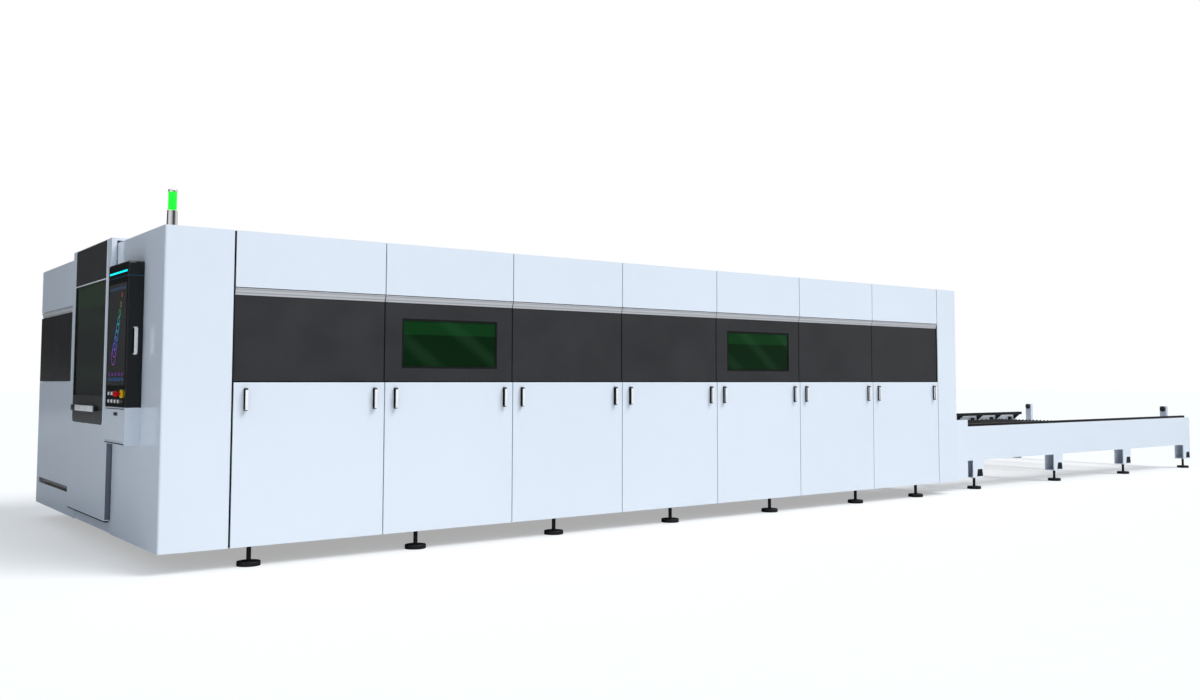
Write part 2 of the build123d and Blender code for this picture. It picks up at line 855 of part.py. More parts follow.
def leg_inserts():
    """Black covers in the legs' tapered holes."""
    y_pairs = [across(sign, table_width / 2 - leg_wall, table_width / 2, table_mid_y) for sign in (-1, 1)]
    return [prism_y(leg_opening(start, -seat_gap), y) for start in leg_starts for y in y_pairs]


def cross_beams():
    """Beams across the table on its legs, and across the bed between its girders."""
    beams = []
    z = (plate_bottom, cross_beam_top)
    table_y = (table_mid_y - plate_inner, table_mid_y + plate_inner)
    bed_y = (table_mid_y - bed_inner, table_mid_y + bed_inner)
    for start in leg_starts:
        beams.append(block(span(start + leg_width / 2, cross_beam_width), table_y, z))
    for middle in seams[1:-1]:
        beams.append(block(span(middle, cross_beam_width), bed_y, z))
    return beams


def pallet_rails():
    """Upper and lower rails of the table and of the bed, in line through the gate."""
    rails = []
    stretches = ((bed_span[0], rear_x - panel_seam), (rear_x, end_x))
    for low, high in stretches:
        for sign in (-1, 1):
            y = across(sign, *upper_rail, table_mid_y)
            rails.append(block((low, high), y, (upper_rail_top - upper_rail_height, upper_rail_top)))
            y = across(sign, *lower_rail, table_mid_y)
            rails.append(block((low, high), y, (lower_rail_top - lower_rail_height, lower_rail_top)))
    return rails


def gusset(x, sign, wall):
    """Triangular bracket under the upper rail, standing out from a wall."""
    top = upper_rail_top - upper_rail_height
    points = [(table_mid_y + sign * wall, top), (table_mid_y + sign * upper_rail[0], top),
              (table_mid_y + sign * wall, top - gusset_height)]
    return prism_x(points, span(x, gusset_thickness))


def gusset_places(low, high):
    """X places of the gussets, counted back from the far end of a stretch of rail."""
    count = int((high - low - gusset_end_margin) / gusset_pitch) + 1
    return [high - gusset_end_margin - k * gusset_pitch for k in range(count)]


def rail_gussets():
    """Gussets on the table's plates and on the bed's girders, and posts under the lower rails."""
    pieces = []
    for sign in (-1, 1):
        pieces += [gusset(x, sign, plate_inner) for x in gusset_places(rear_x, end_x)]
        pieces += [gusset(x, sign, bed_inner) for x in gusset_places(*bed_span)[::2]]
    post_z = (cross_beam_top, lower_rail_top - lower_rail_height)
    for x in [start + leg_width / 2 for start in leg_starts] + seams[1:-1]:
        for sign in (-1, 1):
            y = across(sign, *lower_rail, table_mid_y)
            pieces.append(block(span(x, cross_beam_width), y, post_z))
    return pieces


def guide_rollers():
    """Side rollers on the table's plates, one ahead of each gusset."""
    rollers = []
    for x in gusset_places(rear_x + roller_lead + roller_radius, end_x):
        for sign in (-1, 1):
            y = across(sign, plate_inner - roller_length, plate_inner, table_mid_y)
            rollers.append(rod_y(x - roller_lead, y, roller_height, roller_radius, round_sides))
    return rollers


def end_stops():
    """Posts on the last cross beam and the round buffers that face the pallets."""
    posts, buffers = [], []
    x = span(leg_starts[-1] + leg_width / 2, end_post_depth)
    for sign in (-1, 1):
        middle = table_mid_y + sign * (table_width / 2 - end_post_margin)
        posts.append(block(x, span(middle, end_post_width), (cross_beam_top, end_post_top)))
        face = (x[0] - buffer_length, x[0])
        buffers.append(rod_x(face, middle, end_post_top - buffer_drop, buffer_radius, fine_sides))
    return posts, buffers


def pallet_drive():
    """Gearbox and motor of the pallet chain, on the first cross beam of the table."""
    x = leg_starts[0] + leg_width / 2
    box_x = (x + cross_beam_width / 2, x + cross_beam_width / 2 + motor_box_length)
    box_z = (cross_beam_top - motor_box_height, cross_beam_top)
    gearbox = block(box_x, span(table_mid_y, motor_box_width), box_z)
    motor_y = (table_mid_y + motor_box_width / 2, table_mid_y + motor_box_width / 2 + drive_motor_length)
    return gearbox + rod_y(sum(box_x) / 2, motor_y, sum(box_z) / 2, drive_motor_radius, round_sides)


# Pallets

def slat_outline(bottom):
    """Toothed slat seen along X, as (y, z) points."""
    low = table_mid_y - pallet_width / 2
    pitch = pallet_width / slat_teeth
    valley = bottom + slat_height - slat_tooth
    points = [(low, valley), (low, bottom), (low + pallet_width, bottom), (low + pallet_width, valley)]
    for k in reversed(range(slat_teeth)):
        points.append((low + k * pitch + pitch / 2, bottom + slat_height))
        if k:
            points.append((low + k * pitch, valley))
    return points


def pallet_slats(start, beam_bottom):
    """Toothed slats standing across the pallet's beams."""
    points = slat_outline(beam_bottom + pallet_beam_height)
    count = int((pallet_length - 2 * slat_end_margin) / slat_pitch) + 1
    first = start + (pallet_length - (count - 1) * slat_pitch) / 2
    return [prism_x(points, span(first + k * slat_pitch, slat_thickness)) for k in range(count)]


def pallet_wheel(x, z, sign, rail):
    """Wheel over a rail on a stub axle out of the pallet's side."""
    beam_side = pallet_width / 2
    wheel_y = span(sum(rail) / 2, wheel_width)
    wheel = rod_y(x, across(sign, *wheel_y, table_mid_y), z, wheel_radius, round_sides)
    axle_y = across(sign, beam_side, wheel_y[1], table_mid_y)
    return wheel + rod_y(x, axle_y, z, axle_radius, stem_sides)


def pallet_frame(start, beam_bottom, rail, axle_z):
    """Side beams, cross beams and wheels of a pallet."""
    z = (beam_bottom, beam_bottom + pallet_beam_height)
    end = start + pallet_length
    inner = pallet_width / 2 - pallet_beam_width
    pieces = []
    for sign in (-1, 1):
        pieces.append(block((start, end), across(sign, inner, pallet_width / 2, table_mid_y), z))
        step = (pallet_length - 2 * wheel_inset) / (wheels_per_side - 1)
        for k in range(wheels_per_side):
            pieces.append(pallet_wheel(start + wheel_inset + k * step, axle_z, sign, rail))
    step = (pallet_length - pallet_beam_width) / (pallet_cross_count - 1)
    for k in range(pallet_cross_count):
        x = (start + k * step, start + k * step + pallet_beam_width)
        pieces.append(block(x, (table_mid_y - inner, table_mid_y + inner), z))
    return pieces


# Bed, gantry and cutting head

carriage_low_z = bed_top + guide_rail_height + seat_gap
carriage_z = (carriage_low_z, carriage_low_z + carriage_height)
gantry_x = front_x + gantry_parking
gantry_z = (carriage_z[1], carriage_z[1] + gantry_beam_height)
rail_mid = (bed_inner + bed_outer) / 2
cross_rail_x = (gantry_x + gantry_beam_width / 2, gantry_x + gantry_beam_width / 2 + cross_rail_depth)
cross_rail_zs = (gantry_z[0] + cross_rail_margin, gantry_z[1] - cross_rail_margin)
head_plate_x = (cross_rail_x[0] + running_gap, cross_rail_x[0] + running_gap + head_plate_depth)
lift_x = (head_plate_x[1] + seat_gap, head_plate_x[1] + seat_gap + lift_plate_depth)
head_x = (lift_x[1], lift_x[1] + head_body_depth)
nozzle_z = (head_ground, head_ground + nozzle_height)
neck_z = (nozzle_z[1], nozzle_z[1] + head_neck_height)
head_z = (neck_z[1], neck_z[1] + head_body_height)


def bed_beams():
    """Girders along the bed on the cross sills."""
    return [block(bed_span, across(sign, bed_inner, bed_outer, table_mid_y), (frame_z, bed_top))
            for sign in (-1, 1)]


def bed_rails():
    """Guide rails of the gantry on the girders."""
    z = (bed_top, bed_top + guide_rail_height)
    rail = span(rail_mid, guide_rail_width)
    return [block(bed_span, across(sign, *rail, table_mid_y), z) for sign in (-1, 1)]


def gantry_carriages():
    """Saddles over the guide rails, each with its drive motor."""
    saddles = []
    x = span(gantry_x, carriage_length)
    slot = span(rail_mid, guide_rail_width + 2 * running_gap)
    slot_z = (bed_top - overrun, carriage_z[0])
    for sign in (-1, 1):
        y = across(sign, *span(rail_mid, carriage_width), table_mid_y)
        saddle = block(x, y, (carriage_z[0] - carriage_skirt, carriage_z[1]))
        saddle -= block((x[0] - overrun, x[1] + overrun), across(sign, *slot, table_mid_y), slot_z)
        motor_z = (carriage_z[1], carriage_z[1] + motor_length)
        motor_x = (x[0] + gantry_x - gantry_beam_width / 2) / 2
        saddles.append(saddle + rod_z(motor_x, sum(y) / 2, motor_z, motor_radius, round_sides))
    return saddles


def gantry_beam():
    """Box beam across the bed on the two saddles."""
    reach = rail_mid + carriage_width / 2
    return block(span(gantry_x, gantry_beam_width), (table_mid_y - reach, table_mid_y + reach), gantry_z)


def cross_rails():
    """Guide rails of the head on the front of the gantry."""
    reach = bed_inner - cross_rail_end
    y = (table_mid_y - reach, table_mid_y + reach)
    return [block(cross_rail_x, y, span(z, cross_rail_height)) for z in cross_rail_zs]


def head_carriage():
    """Plate that runs along the gantry, slotted over its two rails."""
    z = (gantry_z[0] + head_plate_drop, gantry_z[1])
    y = span(table_mid_y, head_plate_width)
    plate = block(head_plate_x, y, z)
    slot_x = (head_plate_x[0] - overrun, cross_rail_x[1] + seat_gap)
    slot_y = (y[0] - overrun, y[1] + overrun)
    for rail_z in cross_rail_zs:
        plate -= block(slot_x, slot_y, span(rail_z, cross_rail_height + 2 * running_gap))
    return plate


def cutting_head():
    """Lifting plate, square optics body and round neck of the cutting head."""
    plate_z = (head_z[0], head_z[0] + lift_plate_height)
    plate = block(lift_x, span(table_mid_y, lift_plate_width), plate_z)
    body = block(head_x, span(table_mid_y, head_body_width), head_z)
    upright = body.edges().filter_by(Axis.Z).sort_by(Axis.X)[2:]
    body = chamfer(upright, head_body_chamfer)
    return plate + body + rod_z(sum(head_x) / 2, table_mid_y, neck_z, head_neck_radius, round_sides)


def nozzle():
    """Nozzle under the neck, drawn in to a blunt tip."""
    body = rod_z(sum(head_x) / 2, table_mid_y, nozzle_z, nozzle_radius, fine_sides)
    foot = body.faces().sort_by(Axis.Z)[0]
    return chamfer(foot.edges(), nozzle_tip_inset, nozzle_tip_height, reference=foot)


def power_cabinets():
    """Laser source and switchgear cabinets on the cross sills of the far bay."""
    y = (table_mid_y + bed_outer + cabinet_aisle, skin_y - post_size - cabinet_back_gap)
    z = (frame_z, frame_z + cabinet_height)
    cabinets = []
    start = seams[1] + cabinet_gap
    for length in (laser_cabinet_length, control_cabinet_length):
        x = (start, start + length)
        body = block(x, (y[0], y[1] - cabinet_door), z)
        middle = sum(x) / 2
        for low, high in ((x[0], middle), (middle, x[1])):
            leaf_x = (low + cabinet_door_margin, high - cabinet_door_margin)
            leaf_z = (z[0] + cabinet_door_margin, z[1] - cabinet_door_margin)
            body += block(leaf_x, (y[1] - cabinet_door, y[1]), leaf_z)
        cabinets.append(body)
        start = x[1] + cabinet_gap
    return cabinets


os.makedirs("parts", exist_ok=True)

access_panels, band_panels, trim_strips, upper_panels = side_rows()
window_frames, window_panes = windows()
tower_metal, tower_lens = tower_light()
stop_posts, stop_buffers = end_stops()
upper_start = bed_span[0] + upper_pallet_parking
lower_start = end_x - lower_pallet_end - pallet_length
upper_axle_z = upper_rail_top + wheel_radius + seat_gap
lower_axle_z = lower_rail_top + wheel_radius + seat_gap

save("corner_sheets", corner_sheets())
save("access_panels", access_panels)
save("band_panels", band_panels + [front_band()])
save("trim_strips", trim_strips + [front_trim()])
save("upper_panels", upper_panels)
save("window_frames", window_frames)
save("window_glass", window_panes)
save("access_handles", access_handles())
save("roof_panels", roof_panels())
save("housing_frame", housing_frame())
save("rear_wall", rear_wall())
save("front_panels", front_panels())
save("door_portal", door_portal())
save("door_rails", door_rails())
save("door_leaf", door_leaf())
save("door_panel", [door_panel()])
save("door_window", [door_window()])
save("door_handle", [door_handle()])
save("console_shell", [console_shell()])
save("console_screen", [console_screen()])
save("console_light_bar", [console_light_bar()])
save("console_base", [console_base()])
save("console_flap", [console_flap()])
save("console_handle", [console_handle()])
for number, place in enumerate(button_places, start=1):
    save(f"push_button_{number}", [push_button(*place)])
save("estop_collar", [estop_collar()])
save("estop_button", [estop_button()])
save("tower_light_base", tower_metal)
save("tower_light_lens", [tower_lens])
save("levelling_feet", levelling_feet())
save("table_side_plates", table_side_plates())
save("table_legs", table_legs())
save("leg_inserts", leg_inserts())
save("cross_beams", cross_beams())
save("pallet_rails", pallet_rails())
save("rail_gussets", rail_gussets())
save("guide_rollers", guide_rollers())
save("end_stop_posts", stop_posts)
save("end_stop_buffers", stop_buffers)
save("pallet_drive", [pallet_drive()])
save("upper_pallet_frame", pallet_frame(upper_start, upper_pallet_beam_bottom, upper_rail, upper_axle_z))
save("upper_pallet_slats", pallet_slats(upper_start, upper_pallet_beam_bottom))
save("lower_pallet_frame", pallet_frame(lower_start, lower_pallet_beam_bottom, lower_rail, lower_axle_z))
save("lower_pallet_slats", pallet_slats(lower_start, lower_pallet_beam_bottom))
save("bed_beams", bed_beams())
save("x_guide_rails", bed_rails())
save("gantry_beam", [gantry_beam()])
save("gantry_carriages", gantry_carriages())
save("y_guide_rails", cross_rails())
save("head_carriage", [head_carriage()])
save("cutting_head", [cutting_head()])
save("nozzle", [nozzle()])
save("power_cabinets", power_cabinets())
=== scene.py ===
"""Looks of an enclosed sheet-cutting laser with a shuttle table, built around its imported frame.

Lengths are in metres. +X runs from the operator end to the shuttle table, -Y is the side with the
windows and +Z is up.
"""

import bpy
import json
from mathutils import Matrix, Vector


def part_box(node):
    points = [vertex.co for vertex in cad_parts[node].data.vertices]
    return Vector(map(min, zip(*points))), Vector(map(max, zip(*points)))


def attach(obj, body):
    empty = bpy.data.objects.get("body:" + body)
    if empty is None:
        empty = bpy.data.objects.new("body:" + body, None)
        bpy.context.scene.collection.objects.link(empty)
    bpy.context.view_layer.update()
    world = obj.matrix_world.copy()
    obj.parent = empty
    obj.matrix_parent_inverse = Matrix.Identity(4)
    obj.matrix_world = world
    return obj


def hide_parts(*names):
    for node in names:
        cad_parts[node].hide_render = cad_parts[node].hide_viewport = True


bl_info = {
    "name": "Sheet laser dressing",
    "version": (1, 0, 0),
    "blender": (4, 5, 0),
    "location": "View3D > Sidebar > Sheet laser",
    "description": "Finishes, fittings and stage of an enclosed sheet-cutting laser",
    "category": "Object",
}

import json
import math

import bmesh
import bpy
import numpy as np
from bpy.props import FloatProperty, FloatVectorProperty, IntProperty, PointerProperty

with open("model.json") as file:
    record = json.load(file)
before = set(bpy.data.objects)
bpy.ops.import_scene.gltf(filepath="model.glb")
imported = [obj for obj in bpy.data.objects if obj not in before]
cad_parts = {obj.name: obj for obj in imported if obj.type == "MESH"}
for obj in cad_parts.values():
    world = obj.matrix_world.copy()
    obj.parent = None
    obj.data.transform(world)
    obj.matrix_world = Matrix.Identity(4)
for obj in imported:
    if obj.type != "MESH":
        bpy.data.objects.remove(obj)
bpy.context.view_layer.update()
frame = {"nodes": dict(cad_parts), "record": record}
slot_colours = {entry["slot"]: tuple(entry["base_color"][:3]) for entry in frame["record"]["materials"]}

SMOOTH_ANGLE = math.radians(35)
NOISE_SPAN = (0.3, 0.7)
WHITE = (1, 1, 1, 1)
ACROSS = np.array([1.0, 0, 0])
UP = np.array([0, 0, 1.0])
BUTTONS = range(1, 8)

slot_nodes = {
    "white_paint": ("corner_sheets", "access_panels", "upper_panels", "roof_panels", "rear_wall",
                    "front_panels", "door_leaf", "console_base", "console_flap", "table_side_plates",
                    "table_legs", "cross_beams", "end_stop_posts"),
    "charcoal_paint": ("band_panels",),
    "satin_trim": ("trim_strips",),
    "black_gloss": ("window_frames", "door_panel", "console_shell"),
    "tinted_glass": ("window_glass", "door_window"),
    "polished_metal": ("access_handles", "console_handle", "door_handle", "tower_light_base"),
    "frame_paint": ("housing_frame", "door_portal", "bed_beams", "gantry_beam", "power_cabinets"),
    "guide_steel": ("door_rails", "x_guide_rails", "y_guide_rails"),
    "black_steel": ("pallet_rails", "rail_gussets", "guide_rollers", "levelling_feet", "leg_inserts"),
    "pallet_steel": ("upper_pallet_frame", "lower_pallet_frame", "upper_pallet_slats",
                     "lower_pallet_slats"),
    "drive_paint": ("pallet_drive", "gantry_carriages"),
    "screen_glass": ("console_screen",),
    "cyan_light": ("console_light_bar",),
    "green_lens": ("tower_light_lens",),
    "button_metal": tuple(f"push_button_{number}" for number in BUTTONS),
    "yellow_plastic": ("estop_collar",),
    "red_plastic": ("estop_button",),
    "buffer_rubber": ("end_stop_buffers",),
    "head_metal": ("head_carriage", "cutting_head"),
    "nozzle_brass": ("nozzle",),
}

own_finishes = {"window_frames": "matte_black", "door_panel": "door_facing", "door_window": "door_glass"}


# Settings

def colour_setting(label, meaning, default):
    """Colour that a user may change."""
    return FloatVectorProperty(name=label, description=meaning, subtype="COLOR", min=0, max=1,
                               default=default)


def length_setting(label, meaning, default):
    """Length in metres that a user may change."""
    return FloatProperty(name=label, description=meaning, unit="LENGTH", default=default)


def angle_setting(label, meaning, degrees):
    """Angle that a user may change, given in degrees."""
    return FloatProperty(name=label, description=meaning, subtype="ANGLE", default=math.radians(degrees))


def share_setting(label, meaning, default):
    """Share between nothing and all that a user may change."""
    return FloatProperty(name=label, description=meaning, min=0, max=1, default=default)


def strength_setting(label, meaning, default):
    """Strength of a light that a user may change."""
    return FloatProperty(name=label, description=meaning, min=0, default=default)


class FinishSettings(bpy.types.PropertyGroup):
    """Colours of the paints, panes and lit pieces."""

    white_paint: colour_setting("White paint", "Powder coat of the sheets", (0.80, 0.856, 0.935))
    charcoal_paint: colour_setting("Charcoal paint", "Dark band round the housing", (0.034, 0.034, 0.036))
    satin_trim: colour_setting("Satin trim", "Sloped strip over the dark band", (0.60, 0.60, 0.615))
    black_steel: colour_setting("Black steel", "Feet, rails, rollers and seals", (0.010, 0.010, 0.011))
    facing_grey: colour_setting("Facing grey", "Dark facing of the door", (0.058, 0.059, 0.059))
    # This blue-grey strip on the door leaf's side paints the shadow that the console casts there.
    door_shadow_grey: colour_setting("Lip grey", "Rubber lip on the door's closing edge", (0.16, 0.18, 0.215))
    shell_black: colour_setting("Shell black", "Shell of the console", (0.005, 0.006, 0.007))
    display_grey: colour_setting("Display grey", "Glass of the display", (0.055, 0.055, 0.055))
    bezel_grey: colour_setting("Bezel grey", "Rings round the push buttons", (0.30, 0.31, 0.32))
    switch_grey: colour_setting("Switch grey", "Key switch", (0.22, 0.22, 0.23))
    pull_bright: colour_setting("Pull bright", "Bright faces of the pulls", (0.93, 0.935, 0.94))
    # The dark of the pulls' strips paints the reflection on their sides; the latch and grip ends use it as
    # their own dark.
    pull_dark: colour_setting("Pull dark", "Dark strips behind the bright faces", (0.03, 0.03, 0.032))
    stop_yellow: colour_setting("Stop yellow", "Collar of the emergency stop", (0.92, 0.62, 0.0))
    stop_red: colour_setting("Stop red", "Head of the emergency stop", (0.70, 0.0, 0.004))
    # The upper strip and the slanting bands of the window panes, and the top of the door's pane, are painted
    # reflections.
    glass_dark: colour_setting("Dark glass", "Lower part of the window panes", (0.004, 0.019, 0.006))
    window_painted_reflection: colour_setting("Light glass", "Upper strip of the window panes", (0.006, 0.040, 0.010))
    window_painted_bands: colour_setting("Glass gleam", "Slanting bands on the panes", (0.012, 0.036, 0.016))
    door_glass_dark: colour_setting("Dark door glass", "Most of the door's pane", (0.042, 0.046, 0.042))
    door_pane_painted_reflection: colour_setting("Light door glass", "Top of the door's pane", (0.046, 0.070, 0.044))
    lens_green: colour_setting("Lens green", "Lit lens of the signal light", (0.0, 0.90, 0.02))
    strip_cyan: colour_setting("Strip cyan", "Lit strip over the display", (0.0, 0.90, 0.95))
    line_blue: colour_setting("Line blue", "Dim line round the console's head", (0.003, 0.045, 0.10))
    tile_blue: colour_setting("Tile blue", "Lower row of the display's tiles", (0.02, 0.06, 0.18))
    tile_violet: colour_setting("Tile violet", "Upper row of the display's tiles", (0.10, 0.02, 0.16))
    header_blue: colour_setting("Header blue", "Header of the display", (0.03, 0.05, 0.09))


class FittingSettings(bpy.types.PropertyGroup):
    """Sizes of the pulls, feet, slats and small fittings."""

    panel_count: IntProperty(name="Access panels", description="Panels on each long side", default=7, min=1)
    panel_seam: length_setting("Panel seam", "Gap between neighbouring panels", 0.010)
    panel_depth: length_setting("Panel depth", "Depth of the panels' folded edges", 0.040)
    gasket_width: length_setting("Gasket width", "Width of the dark strip in a seam", 0.0086)
    gasket_sink: length_setting("Gasket sink", "Depth of the dark strip under what it lies in", 0.007)
    pull_inset: length_setting("Pull inset", "Pull centre to panel edge", 0.085)
    pull_bar: length_setting("Pull bar", "Thickness of a pull's bar", 0.011)
    pull_bend: length_setting("Pull bend", "Bend radius of a pull", 0.014)
    pull_face: length_setting("Pull face", "Thickness of a pull's bright face", 0.003)
    trim_rib: length_setting("Trim rib", "Distance between the ribs of the satin trim", 0.026)
    round_sides: IntProperty(name="Round sides", description="Steps round a turned piece", default=40, min=8)
    pad_height: length_setting("Pad height", "Height of a foot's pad", 0.036)
    stem_radius: length_setting("Stem radius", "Radius of a foot's stem", 0.017)
    flange_radius: length_setting("Flange radius", "Radius of the flange over a foot's stem", 0.028)
    flange_height: length_setting("Flange height", "Height of the flange over a foot's stem", 0.010)
    slat_pitch: length_setting("Slat pitch", "Distance between pallet slats", 0.125)
    slat_thickness: length_setting("Slat thickness", "Thickness of a pallet slat", 0.004)
    tooth_pitch: length_setting("Tooth pitch", "Distance between the teeth of a slat", 0.067)
    tooth_depth: length_setting("Tooth depth", "Depth of the notches of a slat", 0.026)


class StageSettings(bpy.types.PropertyGroup):
    """Camera, floor, surround and light."""

    camera_place: FloatVectorProperty(
        name="Camera place", description="Camera position", subtype="TRANSLATION", unit="LENGTH",
        default=(-9.934, -10.451, 1.367))
    camera_pitch: angle_setting("Camera pitch", "Tilt about the level axis, from straight down", 93.519)
    camera_yaw: angle_setting("Camera yaw", "Turn about the upright axis, from looking along +Y", -38.486)
    camera_lens: FloatProperty(name="Lens", description="Focal length in millimetres", default=32.98)
    camera_shift: FloatVectorProperty(
        name="Shift", description="Lens shift as a share of the picture's width", size=2,
        default=(-0.0369, -0.0298))
    floor_reach: length_setting("Floor reach", "Half the width of the floor", 150.0)
    floor_colour: colour_setting("Floor", "Colour of the floor", (0.90, 0.905, 0.91))
    floor_share: share_setting("Floor share", "Share of white in what the camera sees of the floor", 0.26)
    floor_white: strength_setting("Floor white", "Strength of the white in the floor", 1.52)
    floor_mirror: share_setting("Floor mirror", "Share of black in what mirrors show of the floor", 0.75)
    surround_radius: length_setting("Surround radius", "Radius of the ring that shiny pieces mirror", 45.0)
    surround_height: length_setting("Surround height", "Height of the dark ring", 30.0)
    surround_turn: angle_setting("Surround turn", "Direction of the ring's darkest part, from +X", 103)
    ambient: strength_setting("Ambient", "Strength of the even light", 0.43)
    ambient_colour: colour_setting("Ambient colour", "Colour of the even light", (0.80, 0.90, 1.0))
    key_strength: strength_setting("Key", "Strength of the main lamp", 2.2)
    key_turn: FloatVectorProperty(
        name="Key direction", description="Turn of the main lamp", subtype="EULER",
        default=(math.radians(41), 0, math.radians(34)))
    key_spread: angle_setting("Key spread", "Angle that the main lamp fills", 34)


# Surfaces: each is its points and its faces, the faces as one array for each number of corners

def box_of(node):
    """Lowest and highest corner of a CAD node as arrays."""
    low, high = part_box(node)
    return np.array(low), np.array(high)


def points_of(node):
    """Corner points of a CAD node as an array."""
    mesh = frame["nodes"][node].data
    points = np.zeros(len(mesh.vertices) * 3)
    mesh.vertices.foreach_get("co", points)
    return points.reshape(-1, 3)


def round_node(node):
    """Back centre, radius and depth of a round CAD node that faces -X."""
    low, high = box_of(node)
    middle = (low + high) / 2
    return np.array([high[0], middle[1], middle[2]]), (high[2] - low[2]) / 2, high[0] - low[0]


def stretches(values, gap):
    """Lowest and highest value of each run of values that has no gap wider than the given one."""
    values = np.sort(values)
    breaks = np.flatnonzero(np.diff(values) > gap)
    lows = values[np.concatenate([[0], breaks + 1])]
    highs = values[np.concatenate([breaks, [len(values) - 1]])]
    return np.stack([lows, highs], axis=-1)


def along_x(x):
    """Places on the X axis."""
    return np.stack([x, 0 * x, 0 * x], axis=-1)


def skin(points, closed=False, capped=True):
    """Quads that join each ring of points to the next.

    A closed skin meets itself, and a capped one has flat ends.
    """
    rows, columns = points.shape[:2]
    row = np.arange(rows if closed else rows - 1)[:, None] * columns
    column = np.arange(columns)[None, :]
    next_row = (row + columns) % (rows * columns)
    next_column = (column + 1) % columns
    corners = (row + column, row + next_column, next_row + next_column, next_row + column)
    faces = [np.stack(corners, axis=-1).reshape(-1, 4)]
    if capped and not closed:
        first = np.arange(columns)
        faces.append(np.stack([first[::-1], first + (rows - 1) * columns]))
    return points.reshape(-1, 3), faces


def turned(outline, sides, closed=False, capped=True):
    """Piece turned about Z: each (radius, height) goes round in equal steps. A closed outline is a ring."""
    radius, height = np.asarray(outline, float).T[:, :, None]
    angle = np.arange(sides) * 2 * np.pi / sides
    points = np.stack([radius * np.cos(angle), radius * np.sin(angle), height + 0 * angle], axis=-1)
    return skin(points, closed, capped)


def round_edge(radius, top, across, rise, steps):
    """Quarter ellipse in (radius, height), from the side to the top: cosine across and sine upwards."""
    turn = np.linspace(0, np.pi / 2, steps)
    return np.stack([radius - across + across * np.cos(turn), top - rise + rise * np.sin(turn)], axis=-1)


def rounded_outline(width, height, radius, steps=5):
    """Rectangle with round corners: each corner's quarter circle is pushed out to its corner centre."""
    angle = (np.arange(4 * steps) + 0.5) * np.pi / (2 * steps)
    across = np.sign(np.cos(angle)) * (width / 2 - radius) + radius * np.cos(angle)
    along = np.sign(np.sin(angle)) * (height / 2 - radius) + radius * np.sin(angle)
    return np.stack([across, along], axis=-1)


def swept(path, side, outline):
    """Outline carried along a flat path: its first axis keeps to the side, its second turns along."""
    tangent = np.gradient(path, axis=0)
    tangent /= np.linalg.norm(tangent, axis=1, keepdims=True)
    normal = np.cross(tangent, side)
    return skin(path[:, None, :] + outline[None, :, :1] * side + outline[None, :, 1:] * normal[:, None, :])


def rounded_block(corner, opposite, radius, steps=4):
    """Block with round edges: rounded YZ rectangles along X, drawn in by a quarter circle at both ends."""
    low, high = np.sort(np.array([corner, opposite], float), axis=0)
    size, middle = high - low, (low + high) / 2
    most_share = 0.49
    radius = min(radius, most_share * float(size.min()))
    turn = np.linspace(0, np.pi / 2, steps)
    lead = radius * (1 - np.cos(turn))
    inset = radius * (1 - np.sin(turn))
    x = np.concatenate([low[0] + lead, high[0] - lead[::-1]])
    shrink = np.concatenate([inset, inset[::-1]])[:, None]
    outline = rounded_outline(size[1], size[2], radius)
    y = middle[1] + outline[None, :, 0] * (1 - 2 * shrink / size[1])
    z = middle[2] + outline[None, :, 1] * (1 - 2 * shrink / size[2])
    return skin(np.stack([np.broadcast_to(x[:, None], y.shape), y, z], axis=-1))


def repeated(surface, places, axis="+z"):
    """Copies of a surface made about Z, with its height turned along an axis, moved to each place."""
    points, faces = surface
    x, y, z = points.T
    facing = np.stack({"-x": (-z, -x, y), "+y": (-x, z, y), "+z": (x, y, z)}[axis], axis=-1)
    places = np.asarray(places, float).reshape(-1, 3)
    moved = (facing[None, :, :] + places[:, None, :]).reshape(-1, 3)
    starts = np.arange(len(places))[:, None, None] * len(points)
    return moved, [(group[None, :, :] + starts).reshape(-1, group.shape[1]) for group in faces]


def joined(surfaces):
    """Several surfaces as one."""
    starts = np.cumsum([0] + [len(points) for points, _ in surfaces])
    faces = [group + start for start, (_, groups) in zip(starts, surfaces) for group in groups]
    return np.concatenate([points for points, _ in surfaces]), faces


def new_object(name, surface, material):
    """Mesh object of a surface with its finish."""
    points, faces = surface
    mesh = bpy.data.meshes.new(name)
    mesh.from_pydata(points.tolist(), [], [face for group in faces for face in group.tolist()])
    mesh.materials.append(material)
    item = bpy.data.objects.new(name, mesh)
    bpy.context.scene.collection.objects.link(item)
    return item


def add_piece(name, surface, body, slot, replaces=(), finish=None, smooth=True):
    """Piece that rides on a body, finished as its slot unless another finish is named; the nodes it stands
    for are hidden.
    """
    piece = new_object(name, surface, finishes[finish or slot])
    mesh = piece.data
    shape = bmesh.new()
    shape.from_mesh(mesh)
    bmesh.ops.recalc_face_normals(shape, faces=shape.faces)
    shape.to_mesh(mesh)
    shape.free()
    if mesh.validate():
        raise RuntimeError(f"{name} has faces that aren't valid")
    if smooth:
        mesh.shade_smooth()
        mesh.set_sharp_from_angle(angle=SMOOTH_ANGLE)
    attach(piece, body)
    if replaces:
        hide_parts(*replaces)


# Finishes

def feed(tree, node, inputs):
    """Set constants on a node's sockets, and lead the outputs of other nodes into them."""
    for name, value in inputs.items():
        if isinstance(value, bpy.types.NodeSocket):
            tree.links.new(value, node.inputs[name])
        else:
            node.inputs[name].default_value = value


def add_node(tree, kind, inputs=None, **modes):
    """New shader node with its modes set and its sockets fed."""
    node = tree.nodes.new(f"ShaderNode{kind}")
    for name, value in modes.items():
        setattr(node, name, value)
    feed(tree, node, inputs or {})
    return node


def empty_tree(owner):
    """Cleared node tree of a material or a world."""
    owner.use_nodes = True
    owner.node_tree.nodes.clear()
    return owner.node_tree


